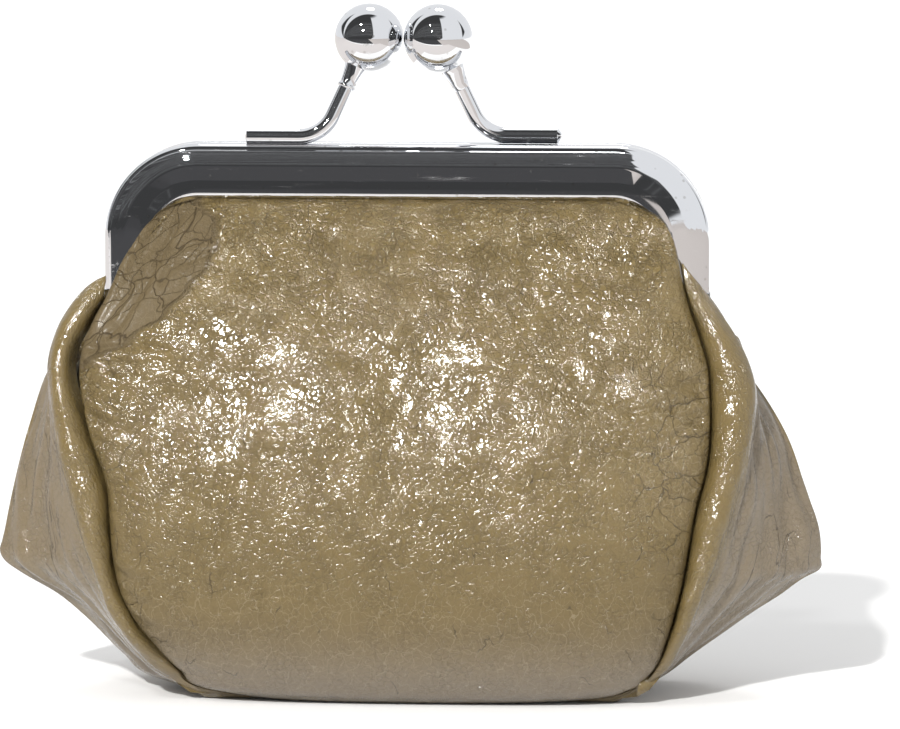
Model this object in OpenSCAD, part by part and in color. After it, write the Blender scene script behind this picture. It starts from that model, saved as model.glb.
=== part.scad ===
// Coin purse with a two-ball snap frame. Front of the purse faces -Y, the base stands on z = 0,
// and the origin is the middle of the base. All lengths are millimetres.

/* [Frame] */
// Width of the frame over both arms
frame_width = 85; // [78:1:94]
// Height of the hinge line above the table
hinge_height = 52; // [47:1:57]
// Rise of the frame from the hinge line to its top
frame_rise = 25.5; // [24:0.5:29]
// Outer radius of the frame's upper corners
frame_corner = 13.4; // [12:0.2:15]
// Width of the channel's front face
face_width = 7.5; // [7:0.1:8]
// Depth of one frame half, front to back
half_depth = 4.3; // [4.1:0.1:4.8]
// Thickness of the frame's sheet metal
sheet = 0.7; // [0.5:0.05:0.8]
// Radius along the channel's outer front edge
edge_round = 1.3; // [0.9:0.1:1.6]
// Radius of the bead along the channel's lip
bead_radius = 0.5; // [0.4:0.05:0.6]
// How far the bead stands proud of the face
bead_proud = 0.2; // [0.1:0.05:0.3]
// How much narrower the hidden back wall of the channel is
back_setback = 1; // [0.5:0.1:2]
// Gap between the two halves when the purse is shut
shut_gap = 0.2; // [0.1:0.05:0.4]

/* [Hinges] */
// Radius of the round ear at the foot of each arm
ear_radius = 3.4; // [3:0.1:3.6]
// Room above the ear before the channel starts
ear_room = 0.5; // [0.4:0.1:1]
// Length of the bent step that sets the rear ears inward
ear_step = 1; // [0.8:0.1:1.5]
// Side gap between two ears, and between an ear and a rivet head
ear_gap = 0.1; // [0.05:0.05:0.15]
// Radius of the hinge rivet
rivet_radius = 0.8; // [0.6:0.05:1]
// Radial play of the rivet in the front ear
rivet_play = 0.05; // [0.02:0.01:0.1]
// Radius of the rivet's outer head
rivet_head_radius = 1.6; // [1.4:0.1:2]
// Height of the rivet's outer head
rivet_head_height = 0.55; // [0.4:0.05:0.8]
// Height of the rivet's inner, closed end
rivet_tail_height = 0.4; // [0.3:0.05:0.6]

/* [Clasp] */
// Diameter of each ball
ball_diameter = 9.66; // [8.6:0.1:10.6]
// Height of the ball centres above the frame's top
ball_rise = 14.7; // [13.5:0.1:16]
// Room between the two balls as they pass
ball_gap = 0.09; // [0.06:0.01:0.15]
// How far each ball sits past the middle when shut
ball_cross = 0.6; // [0.4:0.1:0.9]
// Diameter of the clasp's wire
wire_diameter = 2.17; // [1.9:0.05:2.4]
// Sideways lean of a stem, from its foot to its ball
stem_lean = 6.3; // [5.5:0.1:7]
// Length of a foot, from the stem's corner to its end
foot_length = 10.9; // [9.5:0.1:12]
// Centre line radius of the bend between foot and stem
bend_radius = 5.2; // [4.5:0.1:5.8]
// Depth of the flat under a foot
foot_flat = 0.1; // [0.05:0.05:0.2]
// Radius of the collar where it meets the ball
collar_radius = 1.65; // [1.5:0.05:1.9]
// Length of the collar
collar_length = 3; // [2.5:0.1:3.5]
// Depth of the socket in the ball
socket_depth = 2; // [1.5:0.1:2.5]
// Gap that the solder fills
solder_gap = 0.02; // [0.01:0.005:0.03]
// Distance of the closed pair of balls from the middle of the frame
clasp_shift = -0.5; // [-1:0.1:1]

/* [Leather] */
// Depth of the purse at its fullest, front to back
belly_depth = 44; // [41:1:48]
// How far the point of a side fold stands out beyond the panel's edge
wing_reach = 17.4; // [15:0.2:19]
// Width of the rolled band at the edge of a side fold
band_width = 5.9; // [5:0.1:6.4]
// How far the rolled band stands forward of the crease
band_bulge = 1.9; // [1.5:0.1:2.3]
// Depth of the edge that a side fold tucks into the crease
seam_tuck = 2; // [1.6:0.1:2.4]
// Thickness of the leather
leather = 1.2; // [1:0.05:1.3]
// Thickness of the cloth lining
lining = 0.4; // [0.3:0.05:0.5]
// Thickness of the padding between leather and lining
padding = 0.9; // [0.7:0.05:1.1]
// Gap between neighbouring layers
layer_gap = 0.1; // [0.05:0.01:0.15]
// Gap in the crease between a panel and a side fold
crease_gap = 0.15; // [0.1:0.01:0.2]
// Room that the upper leather keeps as it swings inside the lower leather
swing_gap = 0.35; // [0.3:0.05:0.45]
// Overlap of the upper leather behind the lower leather
hinge_lap = 1.1; // [0.8:0.1:1.5]
// Diameter of the paper cord that wedges the leather in the channel
cord_diameter = 1.1; // [0.9:0.05:1.1]
// Distance of the leather's hidden edge from the outside of the frame
hem_depth = 3.2; // [2.8:0.1:4]

/* [Hidden] */

$fn = 48;

leather_colour = "#92835a";
lining_colour = "#b9ad8c";
padding_colour = "#e6e2d6";
chrome_colour = "#c9ccd1";
cord_colour = "#c8a878";

// Overrun of a cut past the face that it opens
overrun = 1;

frame_half = frame_width / 2;
frame_top = hinge_height + frame_rise;
arm_foot = hinge_height + ear_radius + ear_room;
mouth_rise = frame_rise - face_width;
corner_rise = frame_rise - frame_corner;
wire_radius = wire_diameter / 2;
ball_radius = ball_diameter / 2;

// Layers in the channel, measured from the meeting plane towards the outside
channel_back = shut_gap / 2 + sheet;
channel_front = shut_gap / 2 + half_depth - sheet;
hem_outer = channel_front - solder_gap;
hem_inner = hem_outer - leather;
cloth_outer = hem_inner - solder_gap;
cloth_inner = cloth_outer - lining;
hem_middle = (hem_outer + hem_inner) / 2;
cloth_middle = (cloth_outer + cloth_inner) / 2;
lip_front = shut_gap / 2 + half_depth + bead_proud;

// Shape of the lower bag. Each pair is a height and a size at that height.
// Heights are shares of the hinge height.
level_shares = [1, 0.942, 0.865, 0.769, 0.673, 0.577, 0.481, 0.408, 0.358, 0.308, 0.25, 0.181,
    0.115, 0.069, 0.038, 0.019, 0];
// Half width of a panel, as shares of the frame's half width
width_shares = [[0, 0.518], [0.019, 0.6], [0.038, 0.678], [0.069, 0.736], [0.115, 0.788],
    [0.192, 0.852], [0.288, 0.906], [0.385, 0.936], [0.49, 0.958], [0.62, 0.986], [0.68, 1.005],
    [0.76, 1.024], [0.865, 1.035], [0.94, 1.028], [1, 1.012], [1.1, 0.985]];
// Depth of a panel at its middle, as shares of half the belly's depth
belly_shares = [[0, 0.573], [0.019, 0.645], [0.058, 0.745], [0.115, 0.845], [0.192, 0.927],
    [0.308, 0.986], [0.42, 1], [0.54, 0.973], [0.65, 0.923], [0.77, 0.845], [0.846, 0.782],
    [0.923, 0.718], [1, 0.6545]];
// Depth of the crease at a panel's edge, as shares of half the belly's depth
crease_shares = [[0, 0.436], [0.058, 0.514], [0.192, 0.636], [0.29, 0.677], [0.48, 0.682],
    [0.67, 0.627], [0.865, 0.545], [1, 0.464], [1.1, 0.41]];
// How far the ridge of a side fold stands out, as shares of the wing's reach
ridge_shares = [[0, 0.437], [0.02, 0.4], [0.067, 0.35], [0.125, 0.42], [0.18, 0.517],
    [0.25, 0.66], [0.298, 0.833], [0.337, 0.966], [0.358, 0.994], [0.408, 1], [0.46, 0.937],
    [0.554, 0.805], [0.648, 0.655], [0.73, 0.517], [0.8, 0.414], [0.858, 0.333], [0.923, 0.282],
    [1, 0.241], [1.1, 0.2]];
// Width of the rolled band, as shares of its full width
band_shares = [[0, 0.5], [0.2, 0.68], [0.29, 0.61], [0.39, 0.68], [0.49, 0.88], [0.59, 1],
    [0.72, 0.93], [0.85, 0.88], [0.97, 0.8], [1.1, 0.5]];
// Fullness of the band and depth of its tuck, as shares of their full sizes
fullness_shares = [[0, 0.2], [0.115, 0.8], [0.2, 1], [1, 1], [1.1, 0.5]];

// Across half a side fold from the crease: place across the band, and fullness there
band_points_shares = [[0, -1], [0, 0], [0.18, 0.8], [0.5, 1], [0.85, 0.55], [1, -0.2]];
// Then the places along the flat wing, from the band to the ridge
wing_points_shares = [0.35, 0.7, 1];
// Height of a side fold's upper edge at each of these places, as shares of the hinge height
upper_edge_shares = [0.99, 1, 1.04, 1.075, 1.06, 1.025, 0.985, 0.95, 0.92];
// Levels below that edge, and how much of the edge's rise each level keeps
gusset_level_shares = [0.865, 0.82, 0.769, 0.673, 0.577, 0.481, 0.408, 0.358, 0.308, 0.25, 0.181,
    0.115, 0.069, 0.038, 0.019, 0];
rise_kept_shares = [1, 0.45];

// Shape of the upper leather, from behind the lower leather up to the channel's mouth.
// Heights are shares of the rise from the hinge line to the mouth.
top_level_shares = [0.989, 0.944, 0.867, 0.789, 0.728, 0.678, 0.622, 0.5, 0.361, 0.222, 0.083];
top_belly_shares = [[0, 1], [0.222, 0.914], [0.361, 0.796], [0.5, 0.602], [0.622, 0.44],
    [0.728, 0.32], [0.789, 0.24], [0.867, 0.13], [0.944, 0.045], [1, 0]];
// How far the leather folds outward over the lip, as shares of the face's width
over_lip_shares = [[0, 0.86], [0.222, 0.82], [0.361, 0.76], [0.5, 0.6], [0.622, 0.28],
    [0.678, 0.1], [0.728, -0.06], [1, -0.03]];
top_edge_shares = [[0, 0.665], [0.25, 0.51], [0.45, 0.35], [0.622, 0.237], [0.678, 0.215],
    [0.728, 0.2], [0.789, 0.022], [1, 0]];
// Above this level the leather has its own thickness up to its edge
fold_end_share = 0.7;
// Columns across half of the upper leather: those inside the mouth, then those over the lip
inside_shares = [0, 0.3, 0.57, 0.8, 1];
outside_shares = [0.15, 0.65, 1];

// Roundness of a panel from its middle to its edge
round_power = 2.6;
// Columns across half of a panel, and across half of its lining
half_columns = 7;
lining_columns = 5;

half_belly = belly_depth / 2;
// Largest reach of the upper leather from the hinge line
swing_radius = lookup(1, belly_shares) * half_belly - leather - swing_gap;

function swell(place) = sqrt(max(0, 1 - pow(abs(place), round_power)));
function unit(v) = v / norm(v);
function mix(a, b, share) = a + (b - a) * share;

// Closed skin between two grids of points. Seen from outside, rows go down and columns go right.
module skin(outer, inner) {
    rows = len(outer);
    columns = len(outer[0]);
    count = rows * columns;
    points = [for (grid = [outer, inner], row = grid, point = row) point];
    function at(i, j) = i * columns + j;
    cells = [for (i = [0 : rows - 2], j = [0 : columns - 2])
        [at(i, j), at(i, j + 1), at(i + 1, j + 1), at(i + 1, j)]];
    low = rows - 1;
    end = columns - 1;
    faces = [
        for (c = cells) each [[c[0], c[1], c[2]], [c[0], c[2], c[3]]],
        for (c = cells) each [
            [c[0] + count, c[2] + count, c[1] + count],
            [c[0] + count, c[3] + count, c[2] + count]
        ],
        for (j = [0 : columns - 2]) each [
            [at(0, j), at(0, j) + count, at(0, j + 1) + count],
            [at(0, j), at(0, j + 1) + count, at(0, j + 1)],
            [at(low, j), at(low, j + 1), at(low, j + 1) + count],
            [at(low, j), at(low, j + 1) + count, at(low, j) + count]
        ],
        for (i = [0 : rows - 2]) each [
            [at(i, 0) + count, at(i, 0), at(i + 1, 0)],
            [at(i, 0) + count, at(i + 1, 0), at(i + 1, 0) + count],
            [at(i, end), at(i, end) + count, at(i + 1, end) + count],
            [at(i, end), at(i + 1, end) + count, at(i + 1, end)]
        ]
    ];
    polyhedron(points, faces, convexity = 8);
}

// The frame: sweeps a flat profile along the top bar, the corners and the arms of the rear half.
// In the profile x runs inward from the outside of the frame and y runs away from the middle.
module along_frame(foot = arm_foot) {
    arm_top = frame_top - frame_corner;
    translate([frame_corner - frame_half, 0, frame_top])
        rotate([0, 90, 0])
            linear_extrude(frame_width - 2 * frame_corner) children();
    for (side = [0, 1])
        mirror([side, 0, 0]) {
            translate([frame_half - frame_corner, 0, arm_top])
                rotate([90, 0, 0])
                    rotate_extrude(angle = 90)
                        translate([frame_corner, 0]) rotate(180) children();
            translate([frame_half, 0, arm_top])
                rotate([0, 180, 0])
                    linear_extrude(arm_top - foot) children();
        }
}

module channel_profile() {
    translate([0, shut_gap / 2])
        difference() {
            union() {
                square([face_width - back_setback, half_depth - edge_round]);
                translate([edge_round, half_depth - edge_round]) circle(edge_round);
                translate([edge_round, 0])
                    square([face_width - edge_round - bead_radius, half_depth]);
                translate([face_width - bead_radius, half_depth + bead_proud - bead_radius])
                    circle(bead_radius);
            }
            translate([sheet, sheet]) square([face_width, half_depth - 2 * sheet]);
            translate([face_width - back_setback, -overrun])
                square([face_width, overrun + half_depth - sheet]);
        }
}

// One ear, drawn in the plane of the purse's side and as thick as the sheet
module ear(outer_x, hole_radius) {
    web_top = arm_foot + ear_step;
    translate([outer_x - sheet, 0, 0])
        rotate([90, 0, 90])
            linear_extrude(sheet)
                difference() {
                    union() {
                        translate([0, hinge_height]) circle(ear_radius);
                        polygon([
                            [-ear_radius, hinge_height], [ear_radius, hinge_height],
                            [shut_gap / 2 + half_depth - edge_round, arm_foot],
                            [shut_gap / 2 + half_depth - edge_round, web_top],
                            [shut_gap / 2, web_top], [shut_gap / 2, arm_foot]
                        ]);
                    }
                    translate([0, hinge_height]) circle(hole_radius);
                }
}

module ear_bend() {
    width = 2 * sheet + ear_gap;
    translate([frame_half - width, shut_gap / 2, arm_foot])
        cube([width, half_depth - edge_round, ear_step]);
}

module half_frame(ear_x, hole_radius) {
    color(chrome_colour)
        union() {
            along_frame() channel_profile();
            for (side = [0, 1])
                mirror([side, 0, 0]) {
                    ear(ear_x, hole_radius);
                    if (ear_x < frame_half) ear_bend();
                }
        }
}

module frame_cord() {
    cord_radius = cord_diameter / 2;
    color(cord_colour)
        along_frame(arm_foot + ear_step)
            translate([hem_depth + cord_radius, (channel_back + cloth_inner) / 2])
                circle(cord_radius);
}

module hinge_rivet() {
    inner_face = frame_half - 2 * sheet - 2 * ear_gap;
    outer_face = frame_half + ear_gap;
    color(chrome_colour)
        translate([0, 0, hinge_height])
            rotate([0, 90, 0])
                union() {
                    translate([0, 0, inner_face - rivet_tail_height])
                        cylinder(h = rivet_tail_height, r = rivet_head_radius - ear_gap);
                    translate([0, 0, inner_face - rivet_tail_height])
                        cylinder(h = outer_face - inner_face + rivet_tail_height, r = rivet_radius);
                    translate([0, 0, outer_face])
                        cylinder(h = rivet_head_height, r1 = rivet_head_radius,
                            r2 = rivet_head_radius - rivet_head_height);
                }
}

// The clasp of the front half stands on the left. The rear half's clasp is the same part,
// turned half round about the line where the balls meet.
foot_middle = shut_gap / 2 + half_depth / 2;
foot_height = frame_top + wire_radius - foot_flat;
stem_vector = [
    stem_lean,
    foot_middle + ball_cross,
    frame_top + ball_rise - foot_height
];
stem_length = norm(stem_vector);
stem_tilt = atan2(stem_vector[1], stem_vector[2]);
stem_turn = acos(stem_vector[0] / stem_length);
bend_length = bend_radius * tan(stem_turn / 2);
// The straight stem is drawn down by the solder gap and starts a little inside the bend
stem_radius = wire_radius - solder_gap;
stem_start = bend_length - sqrt(solder_gap * bend_radius);
ball_spacing = ball_diameter + ball_gap;

module at_corner() {
    translate([-ball_spacing / 2 - stem_lean, -foot_middle, foot_height])
        rotate([-stem_tilt, 0, 0]) children();
}

module along_stem() {
    at_corner() rotate([0, 90 - stem_turn, 0]) children();
}

module clasp_stem() {
    color(chrome_colour)
        difference() {
            union() {
                at_corner() {
                    translate([-foot_length, 0, 0])
                        rotate([0, 90, 0])
                            cylinder(h = foot_length - bend_length, r = wire_radius);
                    translate([-bend_length, 0, bend_radius])
                        rotate([90, 0, 0]) rotate([0, 0, -90])
                            rotate_extrude(angle = stem_turn)
                                translate([bend_radius, 0]) circle(wire_radius);
                }
                along_stem()
                    translate([0, 0, stem_start])
                        cylinder(h = stem_length - ball_radius + socket_depth - stem_start,
                            r = stem_radius);
            }
            translate([-frame_half, -half_depth - shut_gap, frame_top - wire_diameter])
                cube([frame_width, half_depth + shut_gap, wire_diameter + solder_gap]);
        }
}

module clasp_collar() {
    color(chrome_colour)
        along_stem()
            difference() {
                translate([0, 0, stem_length - ball_radius - collar_length])
                    cylinder(h = collar_length + collar_radius / 2, r1 = wire_radius + ear_gap,
                        r2 = collar_radius);
                translate([0, 0, stem_start]) cylinder(h = stem_length, r = wire_radius);
                translate([0, 0, stem_length]) sphere(ball_radius + solder_gap);
            }
}

module clasp_ball() {
    color(chrome_colour)
        along_stem()
            difference() {
                translate([0, 0, stem_length]) sphere(ball_radius);
                translate([0, 0, stem_start])
                    cylinder(h = stem_length - ball_radius + socket_depth + solder_gap - stem_start,
                        r = wire_radius);
            }
}

module front_clasp() {
    translate([clasp_shift, 0, 0]) children();
}

module rear_clasp() {
    translate([clasp_shift, 0, 0]) rotate(180) children();
}

// The lower bag. A row is [height, depth at the middle, depth at the edge, half width].
function wall_row(share) = [
    share * hinge_height,
    lookup(share, belly_shares) * half_belly,
    lookup(share, crease_shares) * half_belly,
    lookup(share, width_shares) * frame_half
];
ridge_at_base = lookup(0, width_shares) * frame_half + lookup(0, ridge_shares) * wing_reach;
function base_row(share) = let (wall = wall_row(0)) [
    0,
    mix(layer_gap / 2, wall[1], share),
    mix(layer_gap / 2, wall[2], share),
    mix(ridge_at_base - 2 * leather, wall[3], share) - 2 * crease_gap
];
base_shares = [0.7, 0.35, 0];
function bag_rows(levels, with_base) = concat(
    [for (share = levels) wall_row(share)],
    with_base ? [for (share = base_shares) base_row(share)] : []
);

// Direction out of the bag at a row, as [forward, up]
function row_normal(rows, i) =
    let (
        above = rows[max(0, i - 1)],
        below = rows[min(len(rows) - 1, i + 1)],
        step = unit([below[1] - above[1], below[0] - above[0]])
    ) [-step[1], step[0]];

// Grid of a panel, moved inward by a depth
least_side = 0.25;
edge_draw = 0.35;
function panel_grid(rows, depth, columns, last) = [
    for (i = [0 : len(rows) - 1])
        let (
            row = rows[i],
            out = row_normal(rows, i),
            height = row[0] - depth * out[1],
            middle = row[1] - depth * out[0],
            edge = row[2] - edge_draw * depth * out[0],
            half_width = row[3] - depth * max(out[0], least_side)
        )
        [for (j = [-last : last])
            let (place = sin(90 * j / columns))
            [half_width * place, -mix(edge, middle, swell(place)), height]]
];

module panel_layer(levels, with_base, outer_depth, inner_depth, columns, last) {
    rows = bag_rows(levels, with_base);
    skin(
        panel_grid(rows, outer_depth, columns, last),
        panel_grid(rows, inner_depth, columns, last)
    );
}

module panel() {
    color(leather_colour)
        panel_layer(level_shares, true, 0, leather, half_columns, half_columns);
}

// The padding stops below the panel's top, above its base and inside its edges
padding_top_share = 0.9;
padding_foot_share = 0.15;
padding_level_shares = [
    for (share = level_shares) if (share < padding_top_share && share > padding_foot_share) share
];
padding_outer = leather + layer_gap;
module panel_padding() {
    color(padding_colour)
        panel_layer(padding_level_shares, false, padding_outer, padding_outer + padding,
            half_columns, half_columns - 1);
}

lining_level_shares = [0.92, 0.84, 0.75, 0.65, 0.53, 0.42, 0.32, 0.22, 0.13, 0.07, 0.03, 0];
lining_outer = padding_outer + padding + layer_gap;
module panel_lining() {
    color(lining_colour)
        panel_layer(lining_level_shares, true, lining_outer, lining_outer + lining,
            lining_columns, lining_columns);
}

// The side folds. A section is a line of points at one height, from the front crease round the
// ridge to the rear crease.
least_wing = 0.9;
function half_section(share) =
    let (
        x_crease = lookup(share, width_shares) * frame_half + crease_gap,
        y_crease = lookup(share, crease_shares) * half_belly,
        reach = lookup(share, ridge_shares) * wing_reach - crease_gap,
        band = min(lookup(share, band_shares) * band_width, least_wing * reach),
        full = lookup(share, fullness_shares),
        band_line = [for (p = band_points_shares)
            [x_crease + p[0] * band,
                -y_crease - full * (p[1] < 0 && p[0] == 0 ? -seam_tuck : p[1] * band_bulge)]],
        last = band_line[len(band_line) - 1],
        ridge = [x_crease + reach, 0]
    )
    concat(band_line, [for (p = wing_points_shares) mix(last, ridge, p)]);

function whole_section(half) = concat(
    half,
    [for (i = [len(half) - 2 : -1 : 0]) [half[i][0], -half[i][1]]]
);

// Moves a line of points to its left by a depth, keeping the thickness at its corners
sharpest_corner = 0.45;
function moved(line, i, depth) =
    let (
        last = len(line) - 1,
        before = unit(line[min(i, last - 1) + 1] - line[min(i, last - 1)]),
        after = unit(line[max(i, 1)] - line[max(i, 1) - 1]),
        side = unit([-before[1] - after[1], before[0] + after[0]]),
        share = max(sharpest_corner, side * [-before[1], before[0]])
    ) line[i] + side * depth / share;

function column_rise(j, count) =
    let (half = (count - 1) / 2)
    upper_edge_shares[j <= half ? j : count - 1 - j] - gusset_level_shares[0];

function gusset_grid(depth) = [
    for (i = [0 : len(gusset_level_shares) - 1])
        let (kept = i < len(rise_kept_shares) ? rise_kept_shares[i] : 0)
        [for (j = [0 : 2 * (len(upper_edge_shares) - 1)])
            let (
                share = gusset_level_shares[i] + kept * column_rise(j, 2 * len(upper_edge_shares) - 1),
                line = whole_section(half_section(share)),
                point = depth == 0 ? line[j] : moved(line, j, depth)
            )
            [point[0], point[1], share * hinge_height]]
];

module gusset() {
    color(leather_colour) skin(gusset_grid(0), gusset_grid(leather));
}

// The lining of a side fold runs straight from beside the panel's lining to the ridge
gusset_lining_level_shares = [0.84, 0.75, 0.65, 0.55, 0.45, 0.38, 0.3, 0.2, 0.13, 0.07];
gusset_lining_places_shares = [0, 0.35, 0.7, 1];
ridge_room = 2 * leather;
function lining_line(share, depth) =
    let (
        x_crease = lookup(share, width_shares) * frame_half,
        y_crease = lookup(share, crease_shares) * half_belly,
        reach = lookup(share, ridge_shares) * wing_reach,
        start = [x_crease - seam_tuck, -(y_crease - seam_tuck - lining)],
        ridge = [x_crease + reach - ridge_room, 0],
        line = whole_section([for (p = gusset_lining_places_shares) mix(start, ridge, p)])
    )
    [for (j = [0 : len(line) - 1])
        let (point = depth == 0 ? line[j] : moved(line, j, depth))
        [point[0], point[1], share * hinge_height]];

module gusset_lining() {
    color(lining_colour)
        skin(
            [for (share = gusset_lining_level_shares) lining_line(share, 0)],
            [for (share = gusset_lining_level_shares) lining_line(share, lining)]
        );
}

// The upper leather swings with the frame. Its rows are given by their rise above the hinge line.
function mouth_half(rise) =
    frame_half - frame_corner
    + (rise > corner_rise
        ? sqrt(max(0, pow(frame_corner - face_width - layer_gap, 2) - pow(rise - corner_rise, 2)))
        : frame_corner - face_width - layer_gap);
function top_reach(rise) = let (share = rise / mouth_rise)
    mouth_half(rise) + lookup(share, over_lip_shares) * face_width;
function top_middle(rise, from, limit) = let (share = rise / mouth_rise)
    min(
        mix(from, limit, lookup(share, top_belly_shares)),
        sqrt(max(from * from, limit * limit - rise * rise))
    );
function top_edge(rise) = let (share = rise / mouth_rise)
    mix(hem_middle, swing_radius, lookup(share, top_edge_shares));

// The hem runs up into the channel along the top bar
hem_rises = [frame_rise - hem_depth, mouth_rise + bead_radius];
hem_reach = frame_half - frame_corner + leather;
function hem_row(rise, y, count) = [
    for (j = [-count : count]) [hem_reach * j / count, -y, hinge_height + rise]
];

top_thinning = 0.85;
wall_half = frame_half - face_width - layer_gap - leather;
top_rises = concat([for (share = top_level_shares) share * mouth_rise], [-hinge_lap]);
function top_row(rise, inside) =
    let (
        folded = rise < fold_end_share * mouth_rise,
        thickness = leather * top_thinning,
        reach = top_reach(rise),
        wall = min(wall_half, reach - leather * least_wing),
        middle = top_middle(rise, hem_outer - layer_gap, swing_radius),
        edge = top_edge(rise),
        places = concat(
            [for (p = inside_shares) p * wall],
            [for (p = outside_shares) mix(wall, reach, p)]
        ),
        last = len(places) - 1
    )
    [for (j = [-last : last])
        let (
            over_lip = abs(j) >= len(inside_shares),
            side = sign(j),
            x = places[abs(j)],
            y = mix(edge, middle, swell(x / reach)),
            shrink = (reach - thickness) / reach
        )
        !inside ? [side * x, -y, hinge_height + rise]
        : folded && over_lip ? [
            side * (abs(j) == last ? x - crease_gap : x),
            -(lip_front + swing_gap), hinge_height + rise]
        : [
            side * x * (folded ? 1 : shrink),
            -mix(folded ? edge - thickness / 2 : edge, middle - thickness, swell(x / reach)),
            hinge_height + rise]
    ];

module panel_top() {
    count = len(inside_shares) + len(outside_shares) - 1;
    color(leather_colour)
        skin(
            concat(
                [for (rise = hem_rises) hem_row(rise, hem_outer, count)],
                [for (rise = top_rises) top_row(rise, false)]
            ),
            concat(
                [for (rise = hem_rises) hem_row(rise, hem_inner, count)],
                [for (rise = top_rises) top_row(rise, true)]
            )
        );
}

// The upper lining is a plain dome with a hem of its own
lining_reach = frame_half - face_width - 2 * layer_gap - leather;
lining_swing = swing_radius - leather - layer_gap;
lining_top_shares = [0.97, 0.9, 0.8, 0.66, 0.5, 0.33, 0.16, 0];
function lining_row(rise, depth) =
    let (
        reach = min(lining_reach, mouth_half(rise) - leather - layer_gap) - depth,
        middle = top_middle(rise, cloth_outer, lining_swing) - depth
    )
    [for (j = [-lining_columns : lining_columns])
        let (place = sin(90 * j / lining_columns))
        [reach * place, -mix(cloth_middle, middle, swell(place)), hinge_height + rise]];

module lining_top() {
    rises = [for (share = lining_top_shares) share * mouth_rise];
    color(lining_colour)
        skin(
            concat(
                [for (rise = hem_rises) hem_row(rise, cloth_outer, lining_columns)],
                [for (rise = rises) lining_row(rise, 0)]
            ),
            concat(
                [for (rise = hem_rises) hem_row(rise, cloth_inner, lining_columns)],
                [for (rise = rises) lining_row(rise, lining)]
            )
        );
}

module front_panel() { panel(); }
module rear_panel() { mirror([0, 1, 0]) panel(); }
module right_gusset() { gusset(); }
module left_gusset() { mirror([1, 0, 0]) gusset(); }
module front_padding() { panel_padding(); }
module rear_padding() { mirror([0, 1, 0]) panel_padding(); }
module front_lining() { panel_lining(); }
module rear_lining() { mirror([0, 1, 0]) panel_lining(); }
module right_gusset_lining() { gusset_lining(); }
module left_gusset_lining() { mirror([1, 0, 0]) gusset_lining(); }

module rear_frame() { half_frame(frame_half - sheet - ear_gap, rivet_radius + solder_gap); }
module front_frame() { mirror([0, 1, 0]) half_frame(frame_half, rivet_radius + rivet_play); }
module rear_frame_cord() { frame_cord(); }
module front_frame_cord() { mirror([0, 1, 0]) frame_cord(); }
module rear_panel_top() { mirror([0, 1, 0]) panel_top(); }
module front_panel_top() { panel_top(); }
module rear_lining_top() { mirror([0, 1, 0]) lining_top(); }
module front_lining_top() { lining_top(); }
module front_clasp_stem() { front_clasp() clasp_stem(); }
module front_clasp_collar() { front_clasp() clasp_collar(); }
module front_clasp_ball() { front_clasp() clasp_ball(); }
module rear_clasp_stem() { rear_clasp() clasp_stem(); }
module rear_clasp_collar() { rear_clasp() clasp_collar(); }
module rear_clasp_ball() { rear_clasp() clasp_ball(); }
module right_hinge_rivet() { hinge_rivet(); }
module left_hinge_rivet() { mirror([1, 0, 0]) hinge_rivet(); }

front_panel();
rear_panel();
left_gusset();
right_gusset();
front_padding();
rear_padding();
front_lining();
rear_lining();
left_gusset_lining();
right_gusset_lining();
front_frame();
front_frame_cord();
front_panel_top();
front_lining_top();
front_clasp_stem();
front_clasp_collar();
front_clasp_ball();
rear_frame();
rear_frame_cord();
rear_panel_top();
rear_lining_top();
rear_clasp_stem();
rear_clasp_collar();
rear_clasp_ball();
left_hinge_rivet();
right_hinge_rivet();
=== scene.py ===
# %% [markdown]
# # A snap-frame coin purse
# The purse is a full leather bag hung in a polished metal frame. The frame's two halves turn on
# two rivets and are held shut by a pair of crossing balls. The CAD model gives every size and
# every hinge; this script loads it as a fixed frame and dresses it with detailed pieces.

# %% The frame and its box
import math
import bpy
import numpy as np
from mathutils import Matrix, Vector


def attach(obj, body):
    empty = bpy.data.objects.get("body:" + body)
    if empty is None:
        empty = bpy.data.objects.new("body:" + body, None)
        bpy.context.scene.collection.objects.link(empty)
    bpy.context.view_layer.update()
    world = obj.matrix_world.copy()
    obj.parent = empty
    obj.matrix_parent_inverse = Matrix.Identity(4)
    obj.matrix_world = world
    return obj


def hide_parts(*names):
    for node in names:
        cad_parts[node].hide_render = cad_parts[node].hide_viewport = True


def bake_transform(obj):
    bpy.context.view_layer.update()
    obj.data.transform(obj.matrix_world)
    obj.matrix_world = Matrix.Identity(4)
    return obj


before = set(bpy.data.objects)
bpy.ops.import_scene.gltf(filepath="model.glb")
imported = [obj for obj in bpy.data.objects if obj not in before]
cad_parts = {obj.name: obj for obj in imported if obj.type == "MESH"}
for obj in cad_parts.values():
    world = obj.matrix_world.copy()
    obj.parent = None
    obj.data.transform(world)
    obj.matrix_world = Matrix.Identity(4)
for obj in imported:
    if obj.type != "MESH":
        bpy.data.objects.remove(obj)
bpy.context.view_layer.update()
MM = 0.001

# %% [markdown]
# ## Camera
# The photograph was taken from a little to the right and a little above, with a long lens, so
# the frame's arms look almost parallel. A camera far away with a long focal length gives that.
# The camera is made first, because everything is judged through it.

# %% The camera
CAMERA_TURN, CAMERA_RISE, CAMERA_DISTANCE = 4.0, 6.5, 0.85
LOOK_AT = (0.006, 0.0, 0.0463)
FOCAL_LENGTH, SENSOR_WIDTH = 241.6, 36


def in_scene(name, data):
    """A new object with this mesh, lamp or camera."""
    obj = bpy.data.objects.new(name, data)
    bpy.context.scene.collection.objects.link(obj)
    return obj


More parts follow.
